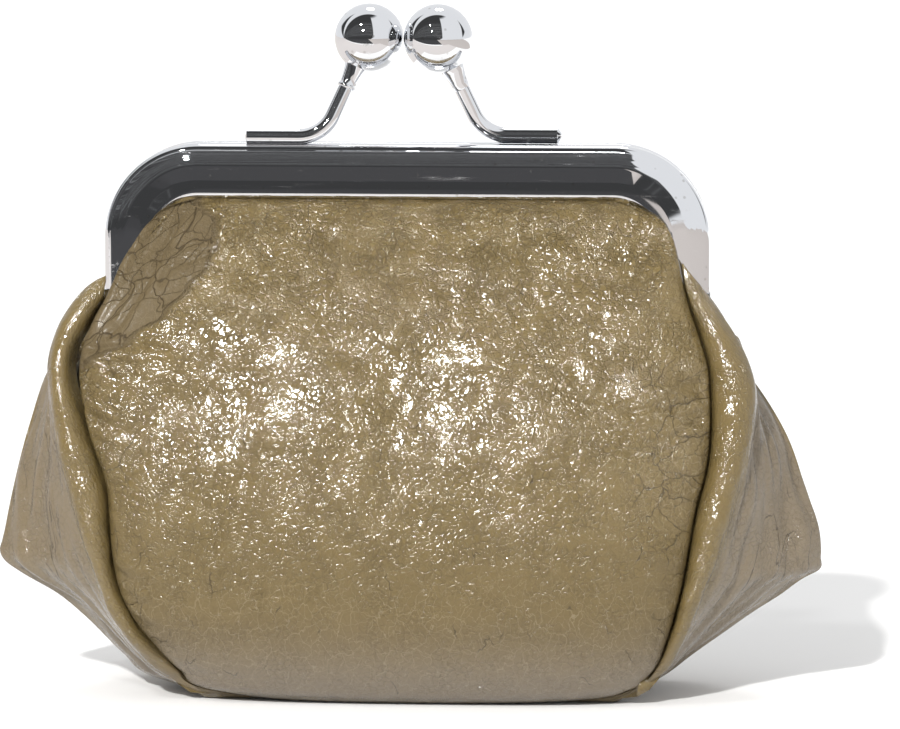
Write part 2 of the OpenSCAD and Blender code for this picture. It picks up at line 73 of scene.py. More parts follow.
def placed(name, data, azimuth, elevation, distance):
    """A camera or a lamp at a distance from the purse, facing it. Azimuth 0 is the front."""
    a, e = math.radians(azimuth), math.radians(elevation)
    way = Vector((math.sin(a) * math.cos(e), -math.cos(a) * math.cos(e), math.sin(e)))
    obj = in_scene(name, data)
    obj.location = Vector(LOOK_AT) + way * distance
    obj.rotation_mode = "QUATERNION"
    obj.rotation_quaternion = (-way).to_track_quat("-Z", "Y")
    return obj


camera = placed("camera", bpy.data.cameras.new("camera"),
                CAMERA_TURN, CAMERA_RISE, CAMERA_DISTANCE)
camera.data.lens, camera.data.sensor_width = FOCAL_LENGTH, SENSOR_WIDTH
camera.data.clip_start, camera.data.clip_end = 0.05, 20
bpy.context.scene.camera = camera
print("camera at", [round(v, 3) for v in camera.location])

# %% [markdown]
# ## Tools for curves and grids
# Most pieces of this purse are skins: a grid of points that follows measured tables. A table is
# read along a smooth curve, so a few measures give a flowing outline. The grid becomes the
# outer face of a closed shell; its inner face is coarser, because nobody sees it closely.


# %% Reading a table smoothly
def along(table, at):
    """Reads a table of (place, size) pairs along a smooth curve through them."""
    xs, ys = np.array(sorted(table), float).T
    at = np.clip(np.asarray(at, float), xs[0], xs[-1])
    slope = np.gradient(ys, xs)
    i = np.clip(np.searchsorted(xs, at) - 1, 0, len(xs) - 2)
    step = xs[i + 1] - xs[i]
    t = (at - xs[i]) / step
    return ((2 * t**3 - 3 * t**2 + 1) * ys[i] + (t**3 - 2 * t**2 + t) * step * slope[i]
            + (3 * t**2 - 2 * t**3) * ys[i + 1] + (t**3 - t**2) * step * slope[i + 1])


def mix(a, b, share):
    return a + (b - a) * share


def ease(low, high, at):
    """Rises smoothly from 0 at low to 1 at high."""
    t = np.clip((np.asarray(at, float) - low) / (high - low), 0, 1)
    return t * t * (3 - 2 * t)


def normals_of(grid):
    """Outward directions of a grid whose rows go down and whose columns go right."""
    out = np.cross(np.gradient(grid, axis=0), np.gradient(grid, axis=1))
    return out / np.maximum(np.linalg.norm(out, axis=2, keepdims=True), 1e-12)


# %% Closed shells from two grids
def rim_of(rows, columns, start):
    """The grid's edge points in order: down the left side, right, up and back."""
    at = lambda i, j: start + i * columns + j
    left, low = [at(i, 0) for i in range(rows - 1)], [at(rows - 1, j) for j in range(columns - 1)]
    right = [at(i, columns - 1) for i in range(rows - 1, 0, -1)]
    return left + low + right + [at(0, j) for j in range(columns - 1, 0, -1)]


def closed_shell(outer, inner, ratio):
    """Points and faces of a shell. The inner grid has one cell for ratio x ratio outer cells."""
    faces, start = [], 0
    for grid, outward in ((outer, True), (inner, False)):
        rows, columns = grid.shape[:2]
        i, j = np.meshgrid(np.arange(rows - 1), np.arange(columns - 1), indexing="ij")
        a = start + i * columns + j
        quad = [a, a + columns, a + columns + 1, a + 1]
        faces.append(np.stack(quad if outward else quad[::-1], -1).reshape(-1, 4))
        start += rows * columns
    fine = rim_of(*outer.shape[:2], 0)
    coarse = rim_of(*inner.shape[:2], outer.shape[0] * outer.shape[1])
    rim = []
    for m, near_point in enumerate(coarse):
        after = coarse[(m + 1) % len(coarse)]
        for k in range(ratio):
            here, following = fine[m * ratio + k], fine[(m * ratio + k + 1) % len(fine)]
            rim.append((following, here, near_point if k < ratio / 2 else after))
        rim.append((fine[(m * ratio + math.ceil(ratio / 2)) % len(fine)], near_point, after))
    points = np.concatenate([outer.reshape(-1, 3), inner.reshape(-1, 3)])
    return points, [tuple(f) for f in np.concatenate(faces).tolist()] + rim


def piece_from(name, points, faces, material, **marks):
    """A smooth mesh piece from points in mm. marks are kept on its points for the material."""
    mesh = bpy.data.meshes.new(name)
    mesh.from_pydata(np.asarray(points) * MM, [], faces)
    mesh.polygons.foreach_set("use_smooth", np.ones(len(mesh.polygons), bool))
    for mark, values in marks.items():
        kind, field = ("FLOAT", "value") if np.ndim(values) == 1 else ("FLOAT_VECTOR", "vector")
        mesh.attributes.new(mark, kind, "POINT").data.foreach_set(
            field, np.asarray(values, np.float32).ravel())
    mesh.materials.append(material)
    return in_scene(name, mesh)


def finished(obj, slot, stands_for, body=None):
    """Hides the CAD nodes that a piece replaces, links it to its slot's own lamp if there is one, and
    hangs it on its body.
    """
    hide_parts(*stands_for)
    if body:
        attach(obj, body)
    if slot in shone_on:
        shone_on[slot].objects.link(obj)
    print(f"{obj.name}: {len(obj.data.vertices)} points")


# %% [markdown]
# ## Node tools
# Materials and Geometry Nodes are both graphs. A small helper adds a node, sets its plain
# values and joins its inputs. It gives back the node's output in a wrapper that knows + - * and
# **, so a graph below reads like a formula; each sign adds one Math node.


# %% Adding and joining nodes
def feed(node, **inputs):
    """Sets or joins inputs of a node. Names use _ for spaces; i0, i1 and so on go by place."""
    for key, value in inputs.items():
        by_place = key[0] == "i" and key[1:].isdigit()
        socket = node.inputs[int(key[1:]) if by_place else key.replace("_", " ")]
        if isinstance(value, Output):
            node.id_data.links.new(value.socket, socket)
        else:
            socket.default_value = value


def add(tree, kind, settings=(), **inputs):
    """Adds a node, by its name after ShaderNode, and gives its first output."""
    node = tree.nodes.new(kind if kind.startswith("GeometryNode") else "ShaderNode" + kind)
    for key, value in dict(settings).items():
        setattr(node, key, value)
    feed(node, **inputs)
    return Output(node.outputs[0]) if node.outputs else None


class Output:
    """An output of a node. An index or a name in [] gives another output of the same node."""

    def __init__(self, socket):
        self.socket, self.tree = socket, socket.id_data

    def __getitem__(self, key):
        return Output(self.socket.node.outputs[key])

    def maths(self, operation, *others):
        values = {f"i{place}": value for place, value in enumerate((self, *others))}
        return add(self.tree, "Math", {"operation": operation}, **values)

    def __add__(self, other):
        return self.maths("ADD", other)

    def __sub__(self, other):
        return self.maths("SUBTRACT", other)

    def __mul__(self, other):
        return self.maths("MULTIPLY", other)

    def __pow__(self, other):
        return self.maths("POWER", other)

    def __rsub__(self, other):
        return add(self.tree, "Math", {"operation": "SUBTRACT"}, i0=other, i1=self)

    def __rtruediv__(self, other):
        return add(self.tree, "Math", {"operation": "DIVIDE"}, i0=other, i1=self)

    def vector(self, operation, other):
        """A Vector Math node: the other value is a place, or a number to scale by."""
        second = "Scale" if operation == "SCALE" else "i1"
        return add(self.tree, "VectorMath", {"operation": operation}, i0=self, **{second: other})

    def ranged(self, low, high, out_low=0.0, out_high=1.0):
        """Maps a range of values onto another one, smoothly."""
        return add(self.tree, "MapRange", {"interpolation_type": "SMOOTHSTEP"}, Value=self,
                   From_Min=low, From_Max=high, To_Min=out_low, To_Max=out_high)


# %% Colours, noise, cells and groups
def linear(red, green, blue):
    """A colour as it looks on a screen, from 0 to 255, as the linear numbers that nodes use."""
    return tuple((c / 255 / 12.92 if c <= 10 else ((c / 255 + 0.055) / 1.055) ** 2.4)
                 for c in (red, green, blue)) + (1.0,)


def blended(share, a, b):
    """Mixes two colours by a share from 0 to 1."""
    return add(share.tree, "Mix", {"data_type": "RGBA"}, i0=share, i6=a, i7=b)[2]


def bumped(height, distance, strength=1.0):
    return add(height.tree, "Bump", Strength=strength, Distance=distance, Height=height)


def noise(place, scale, detail, dimensions="2D", **more):
    """Smooth noise. In 2D it is the same all the way through."""
    return add(place.tree, "TexNoise", {"noise_dimensions": dimensions},
               Vector=place, Scale=scale, Detail=detail, **more)["Fac"]


def cells(place, scale, **settings):
    """Irregular cells, the same all the way through."""
    return add(place.tree, "TexVoronoi", {"voronoi_dimensions": "2D", **settings},
               Vector=place, Scale=scale)["Distance"]


def group_of(kind, name, inputs, outputs):
    """A node group. inputs and outputs are (name, socket type), with a default if one is wanted."""
    tree = bpy.data.node_groups.new(name, kind)
    for in_out, rows in (("INPUT", inputs), ("OUTPUT", outputs)):
        for label, socket, *default in rows:
            made = tree.interface.new_socket(label, in_out=in_out, socket_type="NodeSocket" + socket)
            if default:
                made.default_value = default[0]
    return tree, Output(tree.nodes.new("NodeGroupInput").outputs[0]), tree.nodes.new("NodeGroupOutput")


def principled(name):
    """A new material, its tree and its Principled shader."""
    material = bpy.data.materials.new(name)
    material.use_nodes = True
    return material, material.node_tree, material.node_tree.nodes["Principled BSDF"]


# %% [markdown]
# ## Studio
# Polished metal shows nothing but its surroundings, so the studio is the finish of the chrome.
# In the photograph the balls show a dark room in front and to the left, a white card to the
# right, the white table below and a white strip overhead. The World paints those for
# mirror-like rays only; everything else sees an even white, which also lights the shadows.

# %% The world
WORLD_LIGHT = 0.74
ROOM_DARK, ROOM_LIGHT = 0.053, 0.92
DEGREES = 180 / math.pi
world = bpy.data.worlds.new("studio")
bpy.context.scene.world = world
world.use_nodes = True
sky = world.node_tree
sky.nodes.clear()
way = add(sky, "SeparateXYZ", Vector=add(sky, "TexCoord")["Generated"])
front = way["Y"] * -1.0
over = way["Z"].maths("ARCTAN2", front) * DEGREES    # 0 in front, 90 overhead, 180 behind
side = way["X"].maths("ARCTAN2", front) * DEGREES    # 0 in front, 90 to the right
strip = over.ranged(88, 91) * over.ranged(113, 110)
behind = over.ranged(143, 150) + over.ranged(-143, -150)
card = (side - way["Z"].ranged(-0.02, 0.10, 9.5, 17.5)).ranged(0, 2.5) * side.ranged(96, 93)
card = card * way["Z"].ranged(0.985, 0.93)
far_side = side.ranged(108, 112) + side.ranged(-116, -124)
shelves = add(sky, "TexNoise", {"noise_dimensions": "1D"}, W=over * 0.21, Detail=2.0)["Fac"]
shelves = shelves.ranged(0.52, 0.70, 0, 0.30) * over.ranged(6, 10) * over.ranged(60, 50)
bright = strip
for pale in (card, behind, far_side, shelves):
    bright = bright.maths("MAXIMUM", pale)
seen = bright * (ROOM_LIGHT - ROOM_DARK) + ROOM_DARK
even = add(sky, "Background", Color=(1, 1, 1, 1), Strength=WORLD_LIGHT)
room = add(sky, "Background", Color=(0.97, 0.98, 1, 1), Strength=seen)
mirrored = add(sky, "LightPath")["Is Glossy Ray"]
add(sky, "OutputWorld", Surface=add(sky, "MixShader", i0=mirrored, i1=even, i2=room))
print("world:", len(sky.nodes), "nodes")


# %% [markdown]
# ## Lamps and table
# The main lamp stands to the upper left of the front and throws the shadow to the back and
# right. The leather's sparkle and the metal's stars come from the same side, but a mirror shows
# a lamp far more strongly than crinkled leather does. So two lamps that only gloss can see
# stand beside the main one: light linking gives a strong one to the leather and a weak one to
# the metal. A fill lamp, an overhead lamp and a soft box settle the purse on its white table.
# Dark, grey and pale mats on the table, which only reflections see, stand for what lies round it.

# %% The lamps
FRONT_WHITE, COOL = (1, 0.985, 0.96), (0.93, 0.96, 1)
SUN_DISTANCE, LAMP_DISTANCE = 2.0, 1.4


def near_lamp(name, azimuth, elevation, size, power):
    """A round lamp near the purse."""
    light = bpy.data.lights.new(name, "AREA")
    light.shape, light.size, light.energy = "DISK", size, power
    obj = placed(name, light, azimuth, elevation, LAMP_DISTANCE)
    obj.visible_camera = False
    return obj


def far_lamp(name, azimuth, elevation, angle, strength, colour=(1, 1, 1)):
    """A lamp so far away that its light is even all over the table."""
    light = bpy.data.lights.new(name, "SUN")
    light.angle, light.energy, light.color = math.radians(angle), strength, colour
    return placed(name, light, azimuth, elevation, SUN_DISTANCE)


far_lamp("main_lamp", -15, 33, 2.4, 3.25, FRONT_WHITE).visible_glossy = False
shone_on = {}  # the pieces of a slot that its own lamp shines on
for slot, lamp in (("leather", far_lamp("glint_lamp", -16, 29, 11, 9.0)),
                   ("chrome", far_lamp("star_lamp", -18, 28, 3, 0.25))):
    shone_on[slot] = bpy.data.collections.new("glossy " + slot)
    lamp.visible_diffuse = False
    lamp.light_linking.receiver_collection = shone_on[slot]
far_lamp("overhead_lamp", 180, 62, 14, 0.45)
near_lamp("soft_box", -12, 31, 0.30, 1.6).visible_glossy = False
far_lamp("fill_lamp", 66, 16, 30, 0.32, COOL).visible_glossy = False
near_lamp("spark_lamp", -33, 48, 0.08, 2.2)
print("lamps:", len(bpy.data.lights))

# %% The table and the mats
TABLE_REACH = 6
WHITE, DARK = (0.86, 0.86, 0.86), (0.045, 0.045, 0.047)
GREY, PALE = (0.46, 0.425, 0.405), (0.60, 0.565, 0.55)


def sheet_on_table(name, left, right, near, far, z, colour):
    """A flat, dull stage sheet between two values of x and two of y, in metres."""
    material, _, shader = principled(name)
    feed(shader, Base_Color=(*colour, 1), Roughness=0.9, Specular_IOR_Level=0.0)
    mesh = bpy.data.meshes.new(name)
    corners = [(left, near, z), (right, near, z), (right, far, z), (left, far, z)]
    mesh.from_pydata(corners, [], [(0, 1, 2, 3)])
    mesh.materials.append(material)
    obj = in_scene(name, mesh)
    return obj


sheet_on_table("table", -TABLE_REACH, TABLE_REACH, -TABLE_REACH, TABLE_REACH, -0.0001, WHITE)
for name, *edges, z, colour in (
        ("dark_mat", -TABLE_REACH, 0.10, -TABLE_REACH, -0.30, 0.0004, DARK),
        ("grey_mat", 0.10, TABLE_REACH, -TABLE_REACH, -0.26, 0.0004, GREY),
        ("grey_mat_side", 0.22, TABLE_REACH, -0.26, 0.4, 0.0004, GREY),
        ("pale_mat", -TABLE_REACH, 0.22, -0.26, -0.075, 0.0003, PALE),
        ("pale_mat_left", -TABLE_REACH, -0.09, -0.075, TABLE_REACH, 0.0003, PALE)):
    mat = sheet_on_table(name, *edges, z, colour)
    mat.visible_camera = mat.visible_diffuse = mat.visible_shadow = mat.visible_transmission = False
bpy.context.scene.view_settings.view_transform = "Standard"
print("table and mats are laid")

# %% [markdown]
# ## Chrome
# Plated steel is a mirror with a faint history: hairline scratches, a few dust specks and the
# slightest waviness from pressing. The scratches are long thin noise, laid in the piece's own
# coordinates, and only touch roughness and a very shallow bump.

# %% A group for fine scratches and dust
wear, given, out = group_of(
    "ShaderNodeTree", "scratches and dust",
    [("Place", "Vector"), ("Scratch scale", "Float", 900.0), ("Stretch", "Vector", (0.06, 1.0, 1.0)),
     ("Waviness scale", "Float", 160.0)],
    [("Scratch", "Float"), ("Dust", "Float"), ("Wave", "Float")])
drawn_out = given["Place"].vector("MULTIPLY", given["Stretch"])
hair = noise(drawn_out, given["Scratch scale"], 6.0, "3D", Roughness=0.75)
specks = add(wear, "TexVoronoi", Vector=given["Place"], Scale=520.0)["Distance"]
feed(out, Scratch=hair.ranged(0.56, 0.72), Dust=specks.ranged(0.16, 0.05),
     Wave=noise(given["Place"], given["Waviness scale"], 1.0, "3D"))


# %% Polished metal
def chrome_finish(name, roughness, stretch):
    """A mirror-like plating; stretch draws the scratches out along x, y and z."""
    material, tree, shader = principled(name)
    place = add(tree, "TexCoord")["Object"]
    marks = add(tree, "Group", {"node_tree": wear}, Place=place, Stretch=stretch)
    scratch, dust, wave = marks["Scratch"], marks["Dust"], marks["Wave"]
    feed(shader, Roughness=scratch * 0.26 + dust * 0.12 + roughness, Metallic=1.0,
         Base_Color=blended(dust, (0.80, 0.81, 0.83, 1), (0.62, 0.62, 0.62, 1)),
         Normal=bumped(scratch * -0.02 + wave * 0.35, 0.00003))
    return material


chrome_bar = chrome_finish("chrome_frame", 0.045, (0.06, 1.0, 1.0))
chrome_ball = chrome_finish("chrome_clasp", 0.03, (0.5, 0.5, 0.5))
print("chrome finishes made")

# %% [markdown]
# ## Frame halves
# Each half is one strip of steel rolled into a channel and bent to a U. Its section has a
# rounded front edge, a face with a very slight swell and two shallow grooves, and a rounded lip.
# It could be extruded and bevelled, but sweeping the section along the U gives the whole piece
# in one go; round ears at the arms' feet take the rivets.

# %% Sizes of the frame, from the CAD source
FRAME_HALF, FRAME_TOP, HINGE = 42.5, 77.5, 52.0
FRAME_CORNER, FACE_WIDTH, HALF_DEPTH = 13.4, 7.5, 4.3
SHEET, EDGE_ROUND, SHUT_GAP = 0.7, 1.3, 0.2
LIP_RADIUS, LIP_PROUD, BACK_SETBACK = 0.75, 0.1, 1.0
EAR_RADIUS, EAR_GAP, ARM_FOOT, EAR_STEP = 3.4, 0.1, 55.9, 1.0
ARM_TILT = 9.5  # degrees by which the arms' faces turn outwards


def arc(cx, cy, radius, start, end, steps):
    """Points on part of a circle, in degrees."""
    turn = np.radians(np.linspace(start, end, steps + 1))
    return np.stack([cx + radius * np.cos(turn), cy + radius * np.sin(turn)], 1)


# %% The channel's section
near, far = SHUT_GAP / 2, SHUT_GAP / 2 + HALF_DEPTH
SOFT, BACK = 0.12, FACE_WIDTH - BACK_SETBACK
GROOVES, GROOVE_DEPTH, GROOVE_WIDTH = (1.75, 2.45), 0.022, 0.09
FACE_LEAN = [  # place across the face, degrees by which it leans
    (0.87, 21), (2.0, 17), (2.9, 7), (3.1, -1.8), (4.9, -1.8), (5.1, 3.5), (6.7, 1.5)]
face_x = np.linspace(FACE_LEAN[0][0], FACE_WIDTH - LIP_RADIUS - 0.04, 48)
lean = np.interp(face_x, *np.array(FACE_LEAN).T)
slope = np.tan(np.radians((lean[1:] + lean[:-1]) / 2))
rise = np.concatenate([[0], np.cumsum(np.diff(face_x) * slope)])
face_y = far + LIP_PROUD - rise[-1] + rise
for groove in GROOVES:
    face_y = face_y - GROOVE_DEPTH * np.exp(-((face_x - groove) / GROOVE_WIDTH) ** 2)
section = np.concatenate([
    arc(SOFT, near + SOFT, SOFT, 270, 180, 4),
    arc(EDGE_ROUND, far - rise[-1] - 1.2, EDGE_ROUND, 180, 112, 16),
    np.stack([face_x, face_y], 1),
    arc(FACE_WIDTH - LIP_RADIUS, far + LIP_PROUD - LIP_RADIUS, LIP_RADIUS, 88, 0, 20),
    [(FACE_WIDTH - 0.15, far - 0.78)],
    [(SHEET, far - rise[-1] - SHEET), (SHEET, near + SHEET)],
    arc(BACK - SOFT, near + SHEET - SOFT, SOFT, 90, 0, 3),
    arc(BACK - SOFT, near + SOFT, SOFT, 0, -90, 3)])
print("section:", len(section), "points")


# %% Sweeping the section along the U
def frame_stations(steps=40):
    """Places along the U: the point on its outside, and the direction inward, in the x-z plane."""
    corner, top = FRAME_TOP - FRAME_CORNER, FRAME_HALF - FRAME_CORNER
    left = [((-FRAME_HALF, z), (1, 0)) for z in np.linspace(ARM_FOOT, corner, 7)[:-1]]
    for t in np.radians(np.linspace(180, 90, steps + 1)):
        left.append(((-top + FRAME_CORNER * math.cos(t), corner + FRAME_CORNER * math.sin(t)),
                     (-math.cos(t), -math.sin(t))))
    middle = [((x, FRAME_TOP), (0, -1)) for x in np.linspace(-top, top, 25)[1:-1]]
    return left + middle + [((-p[0], p[1]), (-n[0], n[1])) for p, n in left[::-1]]


def swept_frame(sign):
    """The closed channel of one half. sign is -1 for the front half and 1 for the rear half."""
    rows = []
    for p, n in frame_stations():
        tilt_range = (0.0, 1.0) if p[0] < 0 else (0.12, 0.58)
        turned_out = math.tan(math.radians(ARM_TILT)) * float(ease(*tilt_range, abs(n[0])))
        inner_share = float(ease(67, 60, p[1])) if p[0] > 0 else 1.0
        for x, y in section:
            lowered = max(0.0, 5.0 - x) + inner_share * float(np.clip(6.5 - x, 0, 1.5))
            drop = turned_out * lowered * (y - near) / (far - near)
            rows.append((p[0] + n[0] * x, sign * (y - drop), p[1] + n[1] * x))
    around = len(section)
    count = len(rows) // around
    faces = []
    for i in range(count - 1):
        for j in range(around):
            k = (j + 1) % around
            quad = (i * around + j, (i + 1) * around + j, (i + 1) * around + k, i * around + k)
            faces.append(quad if sign > 0 else quad[::-1])
    first, last = tuple(range(around)), tuple((count - 1) * around + j for j in range(around))
    faces += [first, last[::-1]] if sign > 0 else [first[::-1], last]
    return rows, faces


def plate(outline, sign, side, inner, outer):
    """A flat plate: an outline in the y-z plane, between two distances from the middle."""
    low, high = sorted((side * inner, side * outer))
    count = len(outline)
    points = [(x, sign * y, z) for x in (low, high) for y, z in outline]
    sides = [(j, (j + 1) % count, count + (j + 1) % count, count + j) for j in range(count)]
    return points, [tuple(range(count))[::-1], tuple(range(count, 2 * count)), *sides]


def merged(parts):
    """Several lists of points and faces as one."""
    points, faces, start = [], [], 0
    for part_points, part_faces in parts:
        points += part_points
        faces += [tuple(v + start for v in f) for f in part_faces]
        start = len(points)
    return points, faces


def shaded_by_angle(obj, degrees):
    """Recalculates outward faces and keeps edges sharper than this angle crisp."""
    import bmesh
    work = bmesh.new()
    work.from_mesh(obj.data)
    bmesh.ops.recalc_face_normals(work, faces=work.faces)
    work.to_mesh(obj.data)
    work.free()
    obj.data.set_sharp_from_angle(angle=math.radians(degrees))
    return obj


# %% Both frame halves with their ears
EAR_FAR = near + HALF_DEPTH - EDGE_ROUND
EAR_START, EAR_END = math.degrees(math.atan2(4, near - EAR_RADIUS)) + 22, 360 + 38
EAR_TOP = ARM_FOOT + EAR_STEP
EAR = [(near, EAR_TOP), (near, ARM_FOOT), *arc(0, HINGE, EAR_RADIUS, EAR_START, EAR_END, 40).tolist(),
       (EAR_FAR, ARM_FOOT), (EAR_FAR, EAR_TOP)]
STEP = [(near, ARM_FOOT), (EAR_FAR, ARM_FOOT), (EAR_FAR, EAR_TOP), (near, EAR_TOP)]
for half, sign, inset in (("front", -1, 0.0), ("rear", 1, SHEET + EAR_GAP)):
    parts = [swept_frame(sign)]
    for side in (-1, 1):
        parts.append(plate(EAR, sign, side, FRAME_HALF - inset - SHEET, FRAME_HALF - inset))
        if inset:
            parts.append(plate(STEP, sign, side, FRAME_HALF - 2 * SHEET - EAR_GAP, FRAME_HALF))
    obj = shaded_by_angle(piece_from(f"frame_{half}_half", *merged(parts), chrome_bar), 32)
    finished(obj, "chrome", [f"{half}_frame"], f"{half}_half")

# %% [markdown]
# ## Clasp
# Each clasp is a bent wire with a ball soldered on its end. A wire follows a path, so Geometry
# Nodes draw it: the path's points carry their own radius, which also rounds the cut ends. The
# collars and balls are turned shapes, made by spinning a profile about the wire's line.

# %% Sizes of the clasp, from the CAD source
BALL_RADIUS, WIRE_RADIUS, BALL_SPACING, BALL_LEVEL, BALL_OVERLAP = 4.83, 1.085, 9.75, 92.2, 0.6
STEM_LEAN, FOOT_LENGTH, BEND_RADIUS, CLASP_SHIFT = 6.3, 10.9, 5.2, -0.5
FOOT_Y, FOOT_Z = 2.25, 78.485
stem_vector = np.array([STEM_LEAN, FOOT_Y + BALL_OVERLAP, BALL_LEVEL - FOOT_Z])
stem_length = np.linalg.norm(stem_vector)
stem_way = stem_vector / stem_length
stem_turn = math.acos(stem_way[0])
HALF_TURN = {"front": np.array([1, 1, 1]), "rear": np.array([-1, -1, 1])}


def on_clasp(points, half):
    """Moves points from the clasp's corner to the purse; the rear clasp is turned half round."""
    points = np.asarray(points, float) + [-BALL_SPACING / 2 - STEM_LEAN, -FOOT_Y, FOOT_Z]
    return points * HALF_TURN[half] + [CLASP_SHIFT, 0, 0]


# %% A Geometry Nodes tree that draws wire along a path
def painted(tree, out, geometry, material):
    """Ends a tree: its instances become real meshes, and they get the material. The
    export drops instances and bare faces, so both are settled here.
    """
    whole = add(tree, "GeometryNodeRealizeInstances", Geometry=geometry)
    feed(out, Geometry=add(tree, "GeometryNodeSetMaterial", Geometry=whole, Material=material))


wire_tree, given, out = group_of(
    "GeometryNodeTree", "wire along a path",
    [("Geometry", "Geometry"), ("Wire radius", "Float", 0.001), ("Sides", "Int", 40),
     ("Material", "Material")],
    [("Geometry", "Geometry")])
share = add(wire_tree, "GeometryNodeInputNamedAttribute", {"data_type": "FLOAT"}, Name="radius_share")
sized = share * given["Wire radius"]
path = add(wire_tree, "GeometryNodeMeshToCurve", Mesh=given["Geometry"])
path = add(wire_tree, "GeometryNodeSetCurveRadius", Curve=path, Radius=sized)
ring = add(wire_tree, "GeometryNodeCurvePrimitiveCircle", Resolution=given["Sides"], Radius=1.0)
wire = add(wire_tree, "GeometryNodeCurveToMesh", Curve=path, Profile_Curve=ring, Scale=sized,
           Fill_Caps=True)
painted(wire_tree, out, wire, given["Material"])


def from_nodes(name, points, radius_shares, tree, **values):
    """Runs a Geometry Nodes tree on a row of joined points and keeps the result as a plain mesh."""
    row = bpy.data.meshes.new(name + "_path")
    row.from_pydata(np.asarray(points) * MM, [(k, k + 1) for k in range(len(points) - 1)], [])
    row.attributes.new("radius_share", "FLOAT", "POINT").data.foreach_set(
        "value", np.asarray(radius_shares, np.float32))
    carrier = in_scene(name + "_source", row)
    modifier = carrier.modifiers.new("nodes", "NODES")
    modifier.node_group = tree
    sockets = {s.name: s.identifier for s in tree.interface.items_tree if s.in_out == "INPUT"}
    for key, value in values.items():
        modifier[sockets[key.replace("_", " ")]] = value
    evaluated = carrier.evaluated_get(bpy.context.evaluated_depsgraph_get())
    mesh = bpy.data.meshes.new_from_object(evaluated)
    carrier.modifiers.clear()
    bpy.data.objects.remove(carrier)
    mesh.name = name
    mesh.polygons.foreach_set("use_smooth", np.ones(len(mesh.polygons), bool))
    return in_scene(name, mesh)


# %% The two wires
def wire_path(end_round):
    """The clasp's centre line from its foot to inside the ball, with the radius at each point."""
    bend_length, foot_end = BEND_RADIUS * math.tan(stem_turn / 2), -FOOT_LENGTH + end_round
    tilt = math.atan2(stem_vector[1], stem_vector[2])
    right, rise = np.array([1.0, 0, 0]), np.array([0, math.sin(tilt), math.cos(tilt)])
    points = [right * (foot_end - end_round * (1 - math.sin(k * math.pi / 12))) for k in range(7)]
    points += [right * x for x in np.linspace(foot_end, -bend_length, 8)[1:]]
    points += [right * (-bend_length + BEND_RADIUS * math.sin(t)) + rise * BEND_RADIUS * (1 - math.cos(t))
               for t in np.linspace(0, stem_turn, 28)[1:]]
    points += [stem_way * s for s in np.linspace(bend_length, stem_length - BALL_RADIUS + 1.5, 12)[1:]]
    rounded_end = [min(1.0, math.sin(0.35 + k * 0.2035)) for k in range(6)]
    return np.array(points), rounded_end + [1.0] * (len(points) - len(rounded_end))


for half, end_round in (("front", 0.25), ("rear", 0.6)):
    points, shares = wire_path(end_round)
    obj = from_nodes(f"clasp_wire_{half}", on_clasp(points, half), shares, wire_tree,
                     Wire_radius=WIRE_RADIUS * MM, Sides=40, Material=chrome_ball)
    finished(shaded_by_angle(obj, 40), "chrome", [f"{half}_clasp_stem"], f"{half}_half")


# %% Turned collars, balls and rivets
def turned(profile, origin, axis, steps):
    """Spins (distance along the axis, radius) pairs about an axis; ends of no radius close it."""
    axis = np.asarray(axis, float) / np.linalg.norm(axis)
    across = np.cross(axis, [0, 0, 1.0] if abs(axis[2]) < 0.9 else [1.0, 0, 0])
    across /= np.linalg.norm(across)
    beside = np.cross(axis, across)
    rings, points, faces = [], [], []
    for s, radius in profile:
        turns = np.arange(steps if radius else 1) * 2 * math.pi / steps
        rings.append([len(points) + k % len(turns) for k in range(steps)])
        points += [origin + axis * s + radius * (across * math.cos(t) + beside * math.sin(t))
                   for t in turns]
    for low, high in zip(rings[:-1], rings[1:]):
        for k in range(steps):
            n = (k + 1) % steps
            faces.append(tuple(dict.fromkeys([low[k], low[n], high[n], high[k]])))
    return points, faces


ball = [(-BALL_RADIUS * math.cos(t), BALL_RADIUS * math.sin(t)) for t in np.linspace(0, math.pi, 65)]
ball[0], ball[-1] = (-BALL_RADIUS, 0), (BALL_RADIUS, 0)
COLLARS = {  # distance up the collar, radius
    "front": [(0.0, WIRE_RADIUS + 0.02), (0.08, WIRE_RADIUS + 0.16), (0.3, WIRE_RADIUS + 0.24),
              (0.52, WIRE_RADIUS + 0.16), (0.62, WIRE_RADIUS + 0.07), (1.4, WIRE_RADIUS + 0.14),
              (2.2, WIRE_RADIUS + 0.28), (2.8, 1.48), (3.3, 1.62)],
    "rear": [(0.0, WIRE_RADIUS + 0.03), (0.15, WIRE_RADIUS + 0.10), (0.8, WIRE_RADIUS + 0.14),
             (1.5, WIRE_RADIUS + 0.22), (2.2, WIRE_RADIUS + 0.36), (2.7, 1.56), (3.05, 1.66), (3.4, 1.70)]}
RIVET = [(-0.4, 0), (-0.4, 1.2), (-0.28, 1.42), (0, 1.5), (0, 0.8), (1.8, 0.8), (1.8, 1.6),
         (2.0, 1.58), (2.2, 1.4), (2.35, 0.9), (2.35, 0)]
collar_start = -BALL_RADIUS - 3.0
for half, profile in COLLARS.items():
    centre, axis = on_clasp([stem_vector], half)[0], stem_way * HALF_TURN[half]
    collar = [(collar_start, 0), *((collar_start + s, r) for s, r in profile), (collar_start + 4.0, 0)]
    for part, outline, steps, degrees in (("ball", ball, 96, 60), ("collar", collar, 64, 50)):
        obj = piece_from(f"clasp_{part}_{half}", *turned(outline, centre, axis, steps), chrome_ball)
        finished(shaded_by_angle(obj, degrees), "chrome", [f"{half}_clasp_{part}"], f"{half}_half")

